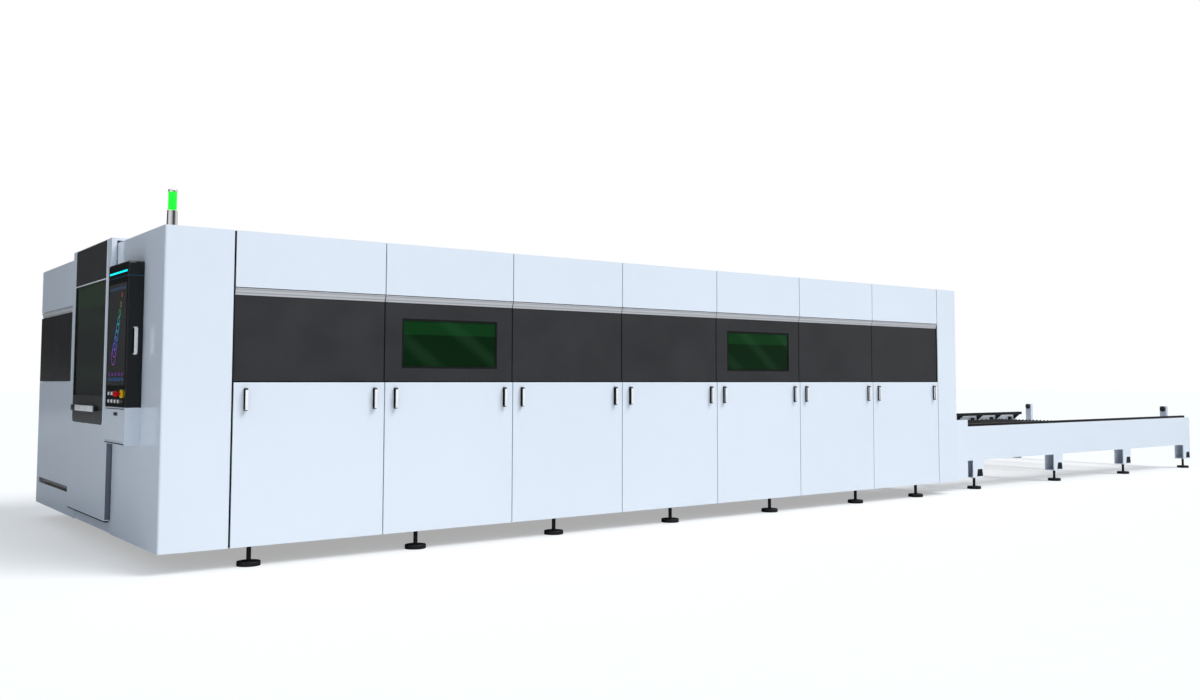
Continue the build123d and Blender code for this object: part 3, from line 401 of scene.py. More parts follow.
def new_finish(name):
    """Node material with an empty Principled surface."""
    material = bpy.data.materials.new(name)
    tree = empty_tree(material)
    surface = add_node(tree, "BsdfPrincipled")
    add_node(tree, "OutputMaterial", {"Surface": surface.outputs["BSDF"]})
    return material, tree, surface


def own_place(tree):
    """The piece's own coordinates."""
    return add_node(tree, "TexCoord").outputs["Object"]


def part_of(tree, vector, axis):
    """One coordinate of a vector."""
    return add_node(tree, "SeparateXYZ", {"Vector": vector}).outputs[axis]


def pattern(tree, scale, detail, stretch=(1, 1, 1)):
    """Noise over the piece's own coordinates, drawn out by a stretch along each axis."""
    mapping = add_node(tree, "Mapping", {"Vector": own_place(tree), "Scale": stretch})
    noise = add_node(tree, "TexNoise", {"Vector": mapping.outputs["Vector"], "Scale": scale,
                                        "Detail": detail})
    return noise.outputs["Fac"]


def ramp(tree, factor, spots, colours):
    """Colours that run through a row of tones, each at its own spot."""
    node = add_node(tree, "ValToRGB", {"Fac": factor})
    tones = node.color_ramp.elements
    for spot in spots[1:-1]:
        tones.new(spot)
    for tone, spot, colour in zip(tones, spots, colours):
        tone.position = spot
        tone.color = (*colour, 1)
    return node.outputs["Color"]


def spread(tree, factor, low, high, span=NOISE_SPAN):
    """Values between a low and a high one, as the factor crosses a span."""
    node = add_node(tree, "MapRange", {"Value": factor, "From Min": span[0], "From Max": span[1],
                                       "To Min": low, "To Max": high})
    return node.outputs["Result"]


def shade(colour, share):
    """Colour made darker or lighter by a share."""
    return tuple(min(1.0, max(0.0, part * (1 + share))) for part in colour)


def surface_finish(name, colour, tone=0.04, rough=(0.3, 0.4), metal=0.0, specular=0.5, scale=3.0, detail=4,
                   stretch=(1, 1, 1), grain=0.0, grain_scale=400.0, grain_detail=2, grain_depth=0.0004):
    """Paint, metal or plastic whose tone and gloss wander a little, with a fine grain where it has one."""
    material, tree, surface = new_finish(name)
    factor = pattern(tree, scale, detail, stretch)
    tones = ramp(tree, factor, NOISE_SPAN, (shade(colour, -tone), shade(colour, tone)))
    feed(tree, surface, {"Base Color": tones, "Roughness": spread(tree, factor, *rough), "Metallic": metal,
                         "Specular IOR Level": specular})
    if grain:
        height = pattern(tree, grain_scale, grain_detail, stretch)
        bump = add_node(tree, "Bump", {"Strength": grain, "Distance": grain_depth, "Height": height})
        feed(tree, surface, {"Normal": bump.outputs["Normal"]})
    return material


def glowing(tree, surface, tones, strength, rough):
    """Lead tones into a surface's own colour and its light."""
    feed(tree, surface, {"Base Color": tones, "Emission Color": tones, "Emission Strength": strength,
                         "Roughness": rough})


def lit_finish(name, colour, strength, darker=-0.15, lighter=0.1, scale=40.0, detail=2, rough=0.25):
    """Lit plastic whose glow wanders a little in tone."""
    material, tree, surface = new_finish(name)
    factor = pattern(tree, scale, detail)
    tones = ramp(tree, factor, NOISE_SPAN, (shade(colour, darker), shade(colour, lighter)))
    glowing(tree, surface, tones, strength, rough)
    return material


def banded_light(name, colours, span, strength, rough=0.3):
    """Lit finish whose colour runs through a row of tones from a low to a high level."""
    material, tree, surface = new_finish(name)
    level = spread(tree, part_of(tree, own_place(tree), "Z"), 0, 1, span)
    glowing(tree, surface, ramp(tree, level, np.linspace(0, 1, len(colours)), colours), strength, rough)
    return material


def glass_with_painted_reflection(name, dark, light, band_reflection_colour, span):
    """Dark pane, lighter above a span of height, with faint slanting bands; the lighter top and the bands
    are painted reflections.
    """
    slant, band_share, band_span = math.radians(52), 0.35, (0.62, 1.0)
    material, tree, surface = new_finish(name)
    place = own_place(tree)
    base = ramp(tree, spread(tree, part_of(tree, place, "Z"), 0, 1, span), (0.0, 1.0), (dark, light))
    # Slanting bands of painted reflection, added over the pane's colour.
    mapping = add_node(tree, "Mapping", {"Vector": place, "Rotation": (0, slant, 0)})
    reflection_bands = add_node(tree, "TexWave", {"Vector": mapping.outputs["Vector"], "Scale": 0.9, "Distortion": 1.2,
                                       "Detail": 1.0})
    mix = add_node(tree, "Mix", {"Factor": spread(tree, reflection_bands.outputs["Fac"], 0, band_share, band_span),
                                 "A": base, "B": (*band_reflection_colour, 1)}, data_type="RGBA", blend_type="ADD")
    feed(tree, surface, {"Base Color": mix.outputs["Result"], "Roughness": 0.06, "Specular IOR Level": 0.15})
    return material


def painted_rib_shade_finish(name, colour, pitch):
    """Satin strip with fine level ribs painted in its colour: painted shade in the grooves and a painted
    highlight on the crests.
    """
    # The groove tone is painted shade and the crest tone a painted highlight.
    wave_rate, groove, crest, spots = 20, -0.22, 0.10, (0.0, 0.6)
    gloss_scale, gloss_detail, gloss_stretch, rough = 6.0, 3, (0.05, 8, 8), (0.30, 0.40)
    material, tree, surface = new_finish(name)
    ribs = add_node(tree, "TexWave", {"Vector": own_place(tree), "Scale": 2 * math.pi / (wave_rate * pitch)},
                    bands_direction="Z")
    tones = ramp(tree, ribs.outputs["Fac"], spots, (shade(colour, groove), shade(colour, crest)))
    gloss = spread(tree, pattern(tree, gloss_scale, gloss_detail, gloss_stretch), *rough)
    feed(tree, surface, {"Base Color": tones, "Roughness": gloss, "Metallic": 0.15})
    return material


finishes = {}


def make_finishes(scene):
    """One finish for each material slot of the record, and those of pieces that differ from their slot."""
    colours = scene.laser_finish
    recipes = {
        "white_paint": dict(colour=colours.white_paint, tone=0.012, rough=(0.10, 0.15), specular=0.42,
                            scale=0.7),
        "charcoal_paint": dict(colour=colours.charcoal_paint, tone=0.08, rough=(0.34, 0.44), specular=0.28,
                               grain=0.15, grain_scale=700.0),
        "black_gloss": dict(colour=colours.shell_black, tone=0.2, rough=(0.07, 0.13), specular=0.4,
                            scale=5.0),
        "polished_metal": dict(tone=0.03, rough=(0.10, 0.18), metal=1.0, scale=30.0),
        "frame_paint": dict(tone=0.07, rough=(0.42, 0.56), grain=0.2),
        "guide_steel": dict(tone=0.08, rough=(0.22, 0.36), metal=1.0, stretch=(0.1, 6, 6), scale=20.0),
        "black_steel": dict(colour=colours.black_steel, tone=0.25, rough=(0.38, 0.52), specular=0.3,
                            scale=9.0, grain=0.2),
        "pallet_steel": dict(tone=0.35, rough=(0.50, 0.72), metal=0.5, grain=0.4, scale=7.0),
        "drive_paint": dict(tone=0.08, rough=(0.35, 0.48), grain=0.2),
        "screen_glass": dict(colour=colours.display_grey, tone=0.08, rough=(0.05, 0.09), specular=0.3),
        "button_metal": dict(colour=colours.pull_bright, tone=0.03, rough=(0.20, 0.30), scale=90.0),
        "button_bezels": dict(colour=colours.bezel_grey, rough=(0.2, 0.3), metal=0.9, scale=80.0),
        "key_switch": dict(colour=colours.switch_grey, rough=(0.2, 0.3), metal=0.9, scale=60.0),
        "yellow_plastic": dict(colour=colours.stop_yellow, tone=0.05, rough=(0.30, 0.40), specular=0.15,
                               scale=40.0),
        "red_plastic": dict(colour=colours.stop_red, tone=0.08, rough=(0.22, 0.32), specular=0.15,
                            scale=40.0),
        "buffer_rubber": dict(tone=0.2, rough=(0.60, 0.78), grain=0.4, scale=40.0),
        "head_metal": dict(tone=0.06, rough=(0.25, 0.36), metal=0.9, scale=18.0),
        "nozzle_brass": dict(tone=0.08, rough=(0.20, 0.30), metal=1.0, scale=120.0),
        "door_facing": dict(colour=colours.facing_grey, tone=0.05, rough=(0.16, 0.24), specular=0.3,
                            scale=4.0),
        "door_lip": dict(colour=colours.door_shadow_grey, tone=0.06, rough=(0.5, 0.65), specular=0.15),
        "matte_black": dict(colour=colours.black_steel, tone=0.2, rough=(0.55, 0.70), specular=0.1,
                            scale=20.0),
        "pull_bright": dict(colour=colours.pull_bright, tone=0.02, rough=(0.22, 0.30), scale=30.0),
        "pull_dark": dict(colour=colours.pull_dark, tone=0.2, rough=(0.28, 0.38), specular=0.3, scale=30.0),
    }
    for name, recipe in recipes.items():
        recipe.setdefault("colour", slot_colours.get(name))
        finishes[name] = surface_finish(name, **recipe)
    lights = {
        "cyan_light": (colours.strip_cyan, 1.0),
        "green_lens": (colours.lens_green, 0.9),
        "console_line": (colours.line_blue, 0.8),
        "tile_blue": (colours.tile_blue, 0.5),
        "tile_violet": (colours.tile_violet, 0.5),
        "display_header": (colours.header_blue, 0.5),
    }
    for name, (colour, strength) in lights.items():
        finishes[name] = lit_finish(name, colour, strength)
    panes = {
        "tinted_glass": ("window_glass", 0.68, colours.glass_dark, colours.window_painted_reflection),
        "door_glass": ("door_window", 0.78, colours.door_glass_dark, colours.door_pane_painted_reflection),
    }
    # Height above which each pane shows its lighter painted reflection.
    strip_edge = 0.012
    for name, (node, strip_share, dark, light) in panes.items():
        low, high = box_of(node)
        strip = low[2] + strip_share * (high[2] - low[2])
        finishes[name] = glass_with_painted_reflection(name, dark, light, colours.window_painted_bands, (strip, strip + strip_edge))
    finishes["satin_trim"] = painted_rib_shade_finish("satin_trim", colours.satin_trim, scene.laser_fitting.trim_rib)


class LASER_OT_finish_sheets(bpy.types.Operator):
    """Give every CAD node the finish of its slot."""

    bl_idname = "laser.finish_sheets"
    bl_label = "Finish the sheets"

    def execute(self, context):
        make_finishes(context.scene)
        for slot, nodes in slot_nodes.items():
            for node in nodes:
                mesh = frame["nodes"][node].data
                mesh.materials.clear()
                mesh.materials.append(finishes[own_finishes.get(node, slot)])
        return {"FINISHED"}


# Pulls and seams

def panel_edges(sizes):
    """Start and end along X of each access panel of a long side."""
    low, high = box_of("access_panels")
    pitch = (high[0] - low[0] + sizes.panel_seam) / sizes.panel_count
    starts = low[0] + np.arange(sizes.panel_count) * pitch
    return starts, starts + pitch - sizes.panel_seam


def bent_path(wall, outward, foot, reach, height, inset, bend, along=UP, steps=7):
    """U-shaped line, drawn in by an inset: out from a wall, round a bend, along, round a bend and back."""
    turn = np.linspace(0, np.pi / 2, steps)
    far = reach - inset - bend
    low, high = foot + inset, foot + height - inset
    out = np.concatenate([[0], far + bend * np.sin(turn), far + bend * np.cos(turn), [0]])
    up = np.concatenate([[low], low + bend * (1 - np.cos(turn)), high - bend * (1 - np.sin(turn)), [high]])
    return np.asarray(wall) + out[:, None] * np.asarray(outward) + up[:, None] * np.asarray(along)


class LASER_OT_access_pulls(bpy.types.Operator):
    """Make the bent pulls of the panels with bright faces on dark strips that paint the dark reflection of
    their sides, dark plates behind them that paint the shadow on the wall, and the console's pull.
    """

    bl_idname = "laser.access_pulls"
    bl_label = "Pulls"

    def execute(self, context):
        sizes = context.scene.laser_fitting
        panels_low, panels_high = box_of("access_panels")
        low, high = box_of("access_handles")
        starts, ends = panel_edges(sizes)
        spots = along_x(np.sort(np.concatenate([starts + sizes.pull_inset, ends - sizes.pull_inset])))
        half = starts[0] + sizes.pull_inset - low[0]
        levels = (low[2], high[2])
        margin, foot, crown, plate = 0.0012, 0.007, 0.016, 0.0012
        strips, faces, painted_shadow_plates = [], [], []
        for wall, outward, reach in ((panels_low[1], -1, panels_low[1] - low[1]),
                                     (panels_high[1], 1, high[1] - panels_high[1])):
            strip = self.bent_strip(sizes, (0, wall, 0), outward, reach - margin, levels, 2 * half)
            strips.append(repeated(strip, spots))
            tip = wall + outward * reach
            face = rounded_block((margin - half, tip, low[2] + foot),
                                 (half - margin, tip - outward * sizes.pull_face, high[2] - crown),
                                 sizes.pull_face / 2)
            faces.append(repeated(face, spots))
            # Dark plate on the wall behind each pull that paints the shadow seen through it.
            back = rounded_block((-half, wall, low[2] + sizes.pull_bar),
                                 (half, wall + outward * plate, high[2] - sizes.pull_bar), plate / 3)
            painted_shadow_plates.append(repeated(back, spots))
        # The strips' dark finish paints the dark reflection on the pulls' sides.
        add_piece("access_pulls", joined(strips), "housing", "black_steel", ("access_handles",),
                  finish="pull_dark")
        add_piece("pull_faces", joined(faces), "housing", "polished_metal", finish="pull_bright")
        add_piece("pull_painted_shadows", joined(painted_shadow_plates), "housing", "black_steel", finish="matte_black")
        low, high = box_of("console_handle")
        wall = ((low[0] + high[0]) / 2, high[1], 0)
        strip = self.bent_strip(sizes, wall, -1, high[1] - low[1], (low[2], high[2]), high[0] - low[0])
        add_piece("console_pull", strip, "housing", "polished_metal", ("console_handle",),
                  finish="pull_bright")
        return {"FINISHED"}

    def bent_strip(self, sizes, wall, outward, reach, levels, width):
        """Flat strip with round edges, carried along a bent path between two levels."""
        edge_share = 0.45
        path = bent_path(wall, (0, outward, 0), levels[0], reach, levels[1] - levels[0],
                         sizes.pull_bar / 2, sizes.pull_bend)
        return swept(path, ACROSS, rounded_outline(width, sizes.pull_bar, edge_share * sizes.pull_bar))


class LASER_OT_panel_gaskets(bpy.types.Operator):
    """Lay dark strips in the seams of the long sides, and a facing and a bright fold on the front band."""

    bl_idname = "laser.panel_gaskets"
    bl_label = "Seam gaskets"

    def execute(self, context):
        sizes = context.scene.laser_fitting
        panels_low, panels_high = box_of("access_panels")
        recess = box_of("band_panels")[0][1] - panels_low[1]
        corners = points_of("corner_sheets")[:, 0]
        corner_seams = ((corners[corners < panels_low[0]].max(), panels_low[0]),
                        (panels_high[0], corners[corners > panels_high[0]].min()))
        spots = along_x(panel_edges(sizes)[0][1:] - sizes.panel_seam / 2)
        half, margin, gap, back_gap = sizes.gasket_width / 2, 0.004, 0.0007, 0.001
        bottom, top = panels_low[2] + margin, box_of("upper_panels")[1][2] - margin
        level = panels_high[2] + sizes.panel_seam / 2
        rows = []
        for face, inward in ((panels_low[1], 1), (panels_high[1], -1)):
            back = face + inward * (sizes.panel_depth - back_gap)
            front = face + inward * sizes.gasket_sink
            for start, stop in corner_seams:
                rows.append(rounded_block((start + gap, front, bottom), (stop - gap, back, top), half))
            front = face + inward * (recess + sizes.gasket_sink)
            rows.append(repeated(rounded_block((-half, front, bottom), (half, back, top), half), spots))
            rows.append(rounded_block((panels_low[0] + margin, front, level - half),
                                      (panels_high[0] - margin, back, level + half), half))
        add_piece("panel_gaskets", joined(rows), "housing", "buffer_rubber", finish="matte_black")
        self.dress_front(sizes, panels_high[2])
        return {"FINISHED"}

    def dress_front(self, sizes, level):
        """Bright fold in the seam under the front band and dark facing over it, from door to far side."""
        front_low, front_high = box_of("front_panels")
        band_low, band_high = box_of("band_panels")
        start = box_of("door_leaf")[1][1] + sizes.panel_seam
        margin, gap = 0.002, 0.0005
        top = level + sizes.panel_seam
        fold = rounded_block((front_low[0] + margin, start, level + gap),
                             (front_high[0] - margin, front_high[1] - margin, top - gap), margin)
        add_piece("front_fold", fold, "housing", "white_paint")
        face = rounded_block((front_low[0], start, band_low[2] + gap),
                             (band_low[0] + gap, front_high[1], band_high[2]), margin)
        add_piece("front_band_face", face, "housing", "charcoal_paint")


# Door

class LASER_OT_door_fittings(bpy.types.Operator):
    """Make the door's bright bar handle with its dark ends, its bright line, its rim that paints a highlight
    round the facing, its seals, and the dark strips that paint shadows on its side and under its leaf.
    """

    bl_idname = "laser.door_fittings"
    bl_label = "Door fittings"

    def execute(self, context):
        self.make_grip()
        self.make_line_and_rim()
        self.make_seals_and_painted_shadows()
        return {"FINISHED"}

    def make_grip(self):
        """Bright bar on a dark foot, with a dark far end."""
        low, high = box_of("door_handle")
        foot, cap_length, bar, edge, inset = 0.060, 0.156, 0.014, 0.005, 0.004
        cap = high[1] - cap_length
        grip = rounded_block(low, (low[0] + bar, cap, high[2]), edge)
        add_piece("door_grip", grip, "door", "polished_metal", ("door_handle",), finish="pull_bright")
        ends = [rounded_block((low[0] + bar, low[1] + inset, low[2] + inset),
                              (high[0], low[1] + foot, high[2] - inset), edge),
                rounded_block((low[0], cap, low[2]), high, edge)]
        add_piece("door_grip_ends", joined(ends), "door", "black_gloss", finish="pull_dark")

    def make_line_and_rim(self):
        """Bright line over the pane, and a bright bead down, under and up the dark facing that paints the
        highlight of the facing's edge.
        """
        low, high = box_of("door_panel")
        rise, half, margin, proud, sink = 0.008, 0.005, 0.006, 0.0015, 0.001
        level = box_of("door_window")[1][2] + rise
        line = rounded_block((low[0] - proud, low[1] + margin, level - half),
                             (low[0] + sink, high[1] - margin, level + half), sink)
        add_piece("door_line", line, "door", "polished_metal", finish="pull_bright")
        # The bead's bright finish paints the highlight along the facing's edge.
        width, depth, gap, bend, edge_share = 0.005, 0.0045, 0.0005, 0.040, 0.4
        offset = gap + width / 2
        size = high - low
        path = bent_path((low[0] + depth / 2, 0, high[2]), (0, 0, -1), low[1], size[2], size[1], -offset,
                         bend + offset, (0, 1, 0))
        highlight_bead = swept(path, ACROSS, rounded_outline(depth, width, edge_share * depth))
        add_piece("facing_painted_highlight", highlight_bead, "door", "polished_metal", finish="pull_bright")

    def make_seals_and_painted_shadows(self):
        """Dark strip on the leaf's side that paints the console's shadow there, a brush under its leaf whose
        dark also paints the leaf's contact shadow, and dark lining round its pane.
        """
        leaf_low, leaf_high = box_of("door_leaf")
        wall = box_of("corner_sheets")[0][0]
        margin, drop, brush_length, thin = 0.008, 0.060, 0.012, 0.0008
        top = box_of("console_shell")[1][2] - drop
        # Thin sheet on the leaf's side whose colour paints the console's shadow.
        side_shadow_strip = rounded_block((leaf_low[0] + margin / 2, leaf_low[1] - thin, leaf_low[2] + margin),
                            (wall - margin / 4, leaf_low[1] + thin, top), thin)
        add_piece("door_lip", side_shadow_strip, "door", "buffer_rubber", finish="door_lip")
        # The brush's dark also paints the contact shadow under the leaf.
        brush = rounded_block((leaf_low[0] + margin / 2, leaf_low[1] + margin, leaf_low[2] - brush_length),
                              (wall - margin, leaf_high[1] - margin, leaf_low[2] + thin), thin)
        add_piece("door_brush_and_painted_shadow", brush, "door", "buffer_rubber", finish="matte_black")
        low, high = box_of("door_window")
        front = box_of("door_panel")[0][0] + thin
        bars = [((low[1], low[2]), (low[1] + thin, high[2])), ((high[1] - thin, low[2]), (high[1], high[2])),
                ((low[1], low[2]), (high[1], low[2] + thin)), ((low[1], high[2] - thin), (high[1], high[2]))]
        lining = [rounded_block((front, *start), (low[0], *stop), thin / 3) for start, stop in bars]
        add_piece("pane_lining", joined(lining), "door", "black_gloss", finish="matte_black")


# Console

class LASER_OT_console_fittings(bpy.types.Operator):
    """Make the console's buttons, emergency stop, key switch, latch, seals with a painted recess shadow, dim
    line and display picture.
    """

    bl_idname = "laser.console_fittings"
    bl_label = "Console fittings"

    def execute(self, context):
        self.face = box_of("console_shell")[0][0]
        self.make_buttons()
        self.make_stop(context.scene.laser_fitting.round_sides)
        self.make_switch_and_latch()
        self.make_seals_and_painted_shadows()
        self.make_line()
        self.make_display()
        return {"FINISHED"}

    def make_buttons(self):
        """Caps with a round shoulder that stand for the CAD buttons, each in a fixed bezel."""
        shoulder, steps, sides, bezel, proud, slope = 0.003, 6, 32, 0.005, 0.003, 0.00125
        flat_share, dish_share, gap_share = 0.4, 0.2, 0.15
        bezels = []
        for number in BUTTONS:
            node = f"push_button_{number}"
            seat, radius, depth = round_node(node)
            profile = np.concatenate([[[radius, 0]], round_edge(radius, depth, shoulder, shoulder, steps),
                                      [[flat_share * radius, depth - dish_share * shoulder]]])
            cap = repeated(turned(profile, sides), seat, "-x")
            add_piece(f"button_cap_{number}", cap, f"button_{number}", "button_metal", (node,))
            inner, outer = radius + gap_share * bezel, radius + bezel
            ring = [(inner, 0), (outer, 0), (outer, proud / 2), (outer - slope, proud), (inner, proud)]
            bezels.append(repeated(turned(ring, sides, closed=True), (self.face, *seat[1:]), "-x"))
        add_piece("button_bezels", joined(bezels), "housing", "button_metal", finish="button_bezels")

    def make_stop(self, sides):
        """Red mushroom head on a slim stem, over a yellow ring with a round shoulder."""
        seat, radius, depth = round_node("estop_button")
        stem, flat, rim, dome, steps = 0.011, 0.012, 0.022, 0.010, 10
        skirt_share, pole_share = 0.9, 0.3
        under = [[stem, 0], [stem, depth - rim], [skirt_share * radius, depth - rim],
                 [radius, depth - skirt_share * rim]]
        profile = np.concatenate([under, round_edge(radius, depth, radius - flat, dome, steps),
                                  [[pole_share * flat, depth]]])
        head = repeated(turned(profile, sides), seat, "-x")
        add_piece("stop_head", head, "estop", "red_plastic", ("estop_button",))
        seat, radius, depth = round_node("estop_collar")
        hole, edge, slope, side = 0.01166, 0.006, 0.0018, 0.0048
        ring = [(hole, 0), (radius, 0), (radius, depth - side), (radius - slope, depth - slope),
                (radius - edge, depth), (hole, depth)]
        collar = repeated(turned(ring, sides, closed=True), seat, "-x")
        add_piece("stop_collar", collar, "housing", "yellow_plastic", ("estop_collar",))

    def make_switch_and_latch(self):
        """Turned key switch beside the lower buttons, and the dark latch plate of the flap."""
        stop = sum(box_of("estop_collar")) / 2
        lower = sum(box_of("push_button_4")) / 2
        rim, ring, well, slope, keyhole, sides = 0.014, 0.012, 0.009, 0.0005, 0.003, 28
        side, crest, floor = 0.003, 0.005, 0.0035
        profile = [(rim, 0), (rim, side), (ring, crest), (well, crest), (well - slope, floor),
                   (keyhole, floor)]
        switch = repeated(turned(profile, sides), (self.face, stop[1], lower[2]), "-x")
        add_piece("key_switch", switch, "housing", "button_metal", finish="key_switch")
        low, high = box_of("console_flap")
        width, height, drop, offset, proud = 0.115, 0.026, 0.036, -0.030, 0.002
        middle = np.array([self.face, (low[1] + high[1]) / 2 + offset, high[2] - drop])
        half = np.array([proud, width / 2, height / 2])
        latch = rounded_block(middle - half, middle + half, proud)
        add_piece("flap_latch", latch, "console_flap", "black_gloss", finish="pull_dark")

    def make_seals_and_painted_shadows(self):
        """Dark strips round the display glass, over the flap and along the foot of the base; the strips
        round the display, widest over it, also paint the shadow of its recess.
        """
        low, high = box_of("console_screen")
        flap_low, flap_high = box_of("console_flap")
        bottom = box_of("console_base")[0][2]
        width, head, proud, sink = 0.004, 0.008, 0.0008, 0.001
        gap, flap_strip, foot_strip = 0.0006, 0.0056, 0.008
        # Dark strips round the display, the top one widest, paint the shadow of its recess as well as its
        # gasket.
        bars = [((low[1] - width, low[2] - width), (high[1] + width, low[2])),
                ((low[1] - width, high[2]), (high[1] + width, high[2] + head)),
                ((low[1] - width, low[2]), (low[1], high[2])),
                ((high[1], low[2]), (high[1] + width, high[2])),
                ((flap_low[1], flap_high[2] + gap), (flap_high[1], flap_high[2] + flap_strip)),
                ((flap_low[1], bottom + foot_strip), (flap_high[1], bottom + 2 * foot_strip))]
        strips = [rounded_block((self.face - proud, *start), (self.face + sink, *stop), proud / 2)
                  for start, stop in bars]
        add_piece("console_seals_and_painted_shadow", joined(strips), "housing", "black_gloss", finish="matte_black")

    def make_line(self):
        """Dim line round the console's head: a thin strip along its front, cut edge and near side."""
        low, high = box_of("console_shell")
        drop, edge, end, steps = 0.031, 0.005, 0.020, 8
        height, depth, corner, corner_steps = 0.0035, 0.0012, 0.0005, 2
        level = box_of("console_light_bar")[0][2] - drop
        x = np.array([low[0], low[0], low[0] + edge, high[0] - edge])
        y = np.array([high[1] - end, low[1] + edge, low[1], low[1]])
        corners = np.arange(len(x))
        share = np.linspace(0, corners[-1], steps * corners[-1] + 1)
        path = np.stack([np.interp(share, corners, x), np.interp(share, corners, y), 0 * share + level],
                        axis=-1)
        strip = swept(path, UP, rounded_outline(height, depth, corner, corner_steps))
        add_piece("console_line", strip, "housing", "cyan_light", finish="console_line")

    def make_display(self):
        """Plain job picture: a slanting row of rings that grow downwards, rows of tiles and a header."""
        low, high = box_of("console_screen")
        size = high - low
        leaf, edge = 0.0005, 0.0002
        self.make_rings(low, high, size, leaf)
        half = np.array([leaf / 2, 0.025, 0.012])
        tile = rounded_block(-half, half, edge)
        tile_share, row_share, across_shares, tile_count = 0.06, 0.05, (0.14, 0.86), 6
        for row, tone in enumerate(("tile_blue", "tile_violet")):
            across = high[1] - np.linspace(*across_shares, tile_count - row) * size[1]
            level = low[2] + (tile_share + row_share * row) * size[2]
            places = np.stack([0 * across + low[0] - leaf / 2, across, 0 * across + level], axis=-1)
            add_piece(f"display_{tone}", repeated(tile, places), "housing", "screen_glass", finish=tone)
        middle = (low[1] + high[1]) / 2
        half_share, bottom_share, top_share = 0.43, 0.065, 0.035
        reach = half_share * size[1]
        header = rounded_block((low[0] - leaf, middle - reach, high[2] - bottom_share * size[2]),
                               (low[0], middle + reach, high[2] - top_share * size[2]), edge)
        add_piece("display_header", header, "housing", "screen_glass", finish="display_header")

    def make_rings(self, low, high, size, leaf):
        """Rings down the display: radius, place across and level each run with the share of the way."""
        count, sides, width, strength, bend = 9, 36, 0.004, 0.6, 0.9
        first_share, growth_share = 0.030, 0.085
        across_share, slant_share = 0.74, 0.40
        drop_share, fall_share = 0.12, 0.60
        share = np.linspace(0, 1, count)
        radii = (first_share + growth_share * share) * size[1]
        across = high[1] - (across_share - slant_share * share) * size[1]
        levels = high[2] - (drop_share + fall_share * share ** bend) * size[2]
        rings = []
        for radius, y, z in zip(radii, across, levels):
            outline = [(radius - width, 0), (radius, 0), (radius, leaf), (radius - width, leaf)]
            rings.append(repeated(turned(outline, sides, closed=True), (low[0], y, z), "-x"))
        violet, blue, cyan, green, red = ((0.30, 0.03, 0.50), (0.06, 0.14, 0.60), (0.02, 0.40, 0.55),
                                          (0.03, 0.32, 0.10), (0.45, 0.03, 0.03))
        finishes["display_rings"] = banded_light("display_rings", (violet, blue, cyan, green, red),
                                                 (levels.min(), levels.max()), strength)
        add_piece("display_rings", joined(rings), "housing", "screen_glass", finish="display_rings")


# Signal light

class LASER_OT_signal_light(bpy.types.Operator):
    """Make the turned base, the ribbed lit lens and the cap of the signal light."""

    bl_idname = "laser.signal_light"
    bl_label = "Signal light"

    def execute(self, context):
        low, high = box_of("tower_light_base")
        lens_low, lens_high = box_of("tower_light_lens")
        middle = (lens_low + lens_high) / 2
        foot = (high[0] - low[0]) / 2
        radius = (lens_high[0] - lens_low[0]) / 2
        base_height = lens_low[2] - low[2]
        lens_height = lens_high[2] - lens_low[2]
        cap_height = high[2] - lens_high[2]
        sides, edge, taper, slope, pole = 48, 0.002, 0.002, 0.006, 0.004
        rib, ribs, rib_steps = 0.0005, 11, 8
        base = [(foot, 0), (foot - taper, base_height - edge), (foot - taper - edge, base_height),
                (radius / 2, base_height)]
        cap = [(radius, 0), (radius, cap_height - slope), (radius - edge, cap_height - edge),
               (radius - slope, cap_height), (pole, cap_height)]
        metal = [repeated(turned(base, sides), (middle[0], middle[1], low[2])),
                 repeated(turned(cap, sides), (middle[0], middle[1], lens_high[2]))]
        add_piece("signal_metal", joined(metal), "housing", "polished_metal", ("tower_light_base",))
        rise = np.linspace(0, 1, rib_steps * ribs + 1)
        ribbed = radius - 2 * rib + rib * np.cos(rise * 2 * np.pi * ribs)
        lens = turned(np.stack([ribbed, rise * lens_height], axis=-1), sides)
        lens = repeated(lens, (middle[0], middle[1], lens_low[2]))
        add_piece("signal_lens", lens, "housing", "green_lens", ("tower_light_lens",))
        return {"FINISHED"}


# Feet

def foot_rows():
    """Radius of the feet, and their places under the sills and the table's legs with each row's seat."""
    points = points_of("levelling_feet")
    ground_level, gap, reach_share = 0.001, 0.05, 1.01
    ground = points[points[:, 2] < ground_level]
    housing_end = box_of("access_panels")[1][0]
    runs = stretches(ground[:, 0], gap)
    radius = np.ptp(runs[-1]) / 2
    sill, table = [], []
    for middle in runs.mean(axis=1):
        column = ground[np.abs(ground[:, 0] - middle) <= reach_share * radius]
        row = sill if middle < housing_end else table
        row.extend([(middle, column[:, 1].min() + radius, 0), (middle, column[:, 1].max() - radius, 0)])
    return radius, ((sill, box_of("access_panels")[0][2]), (table, box_of("table_legs")[0][2]))


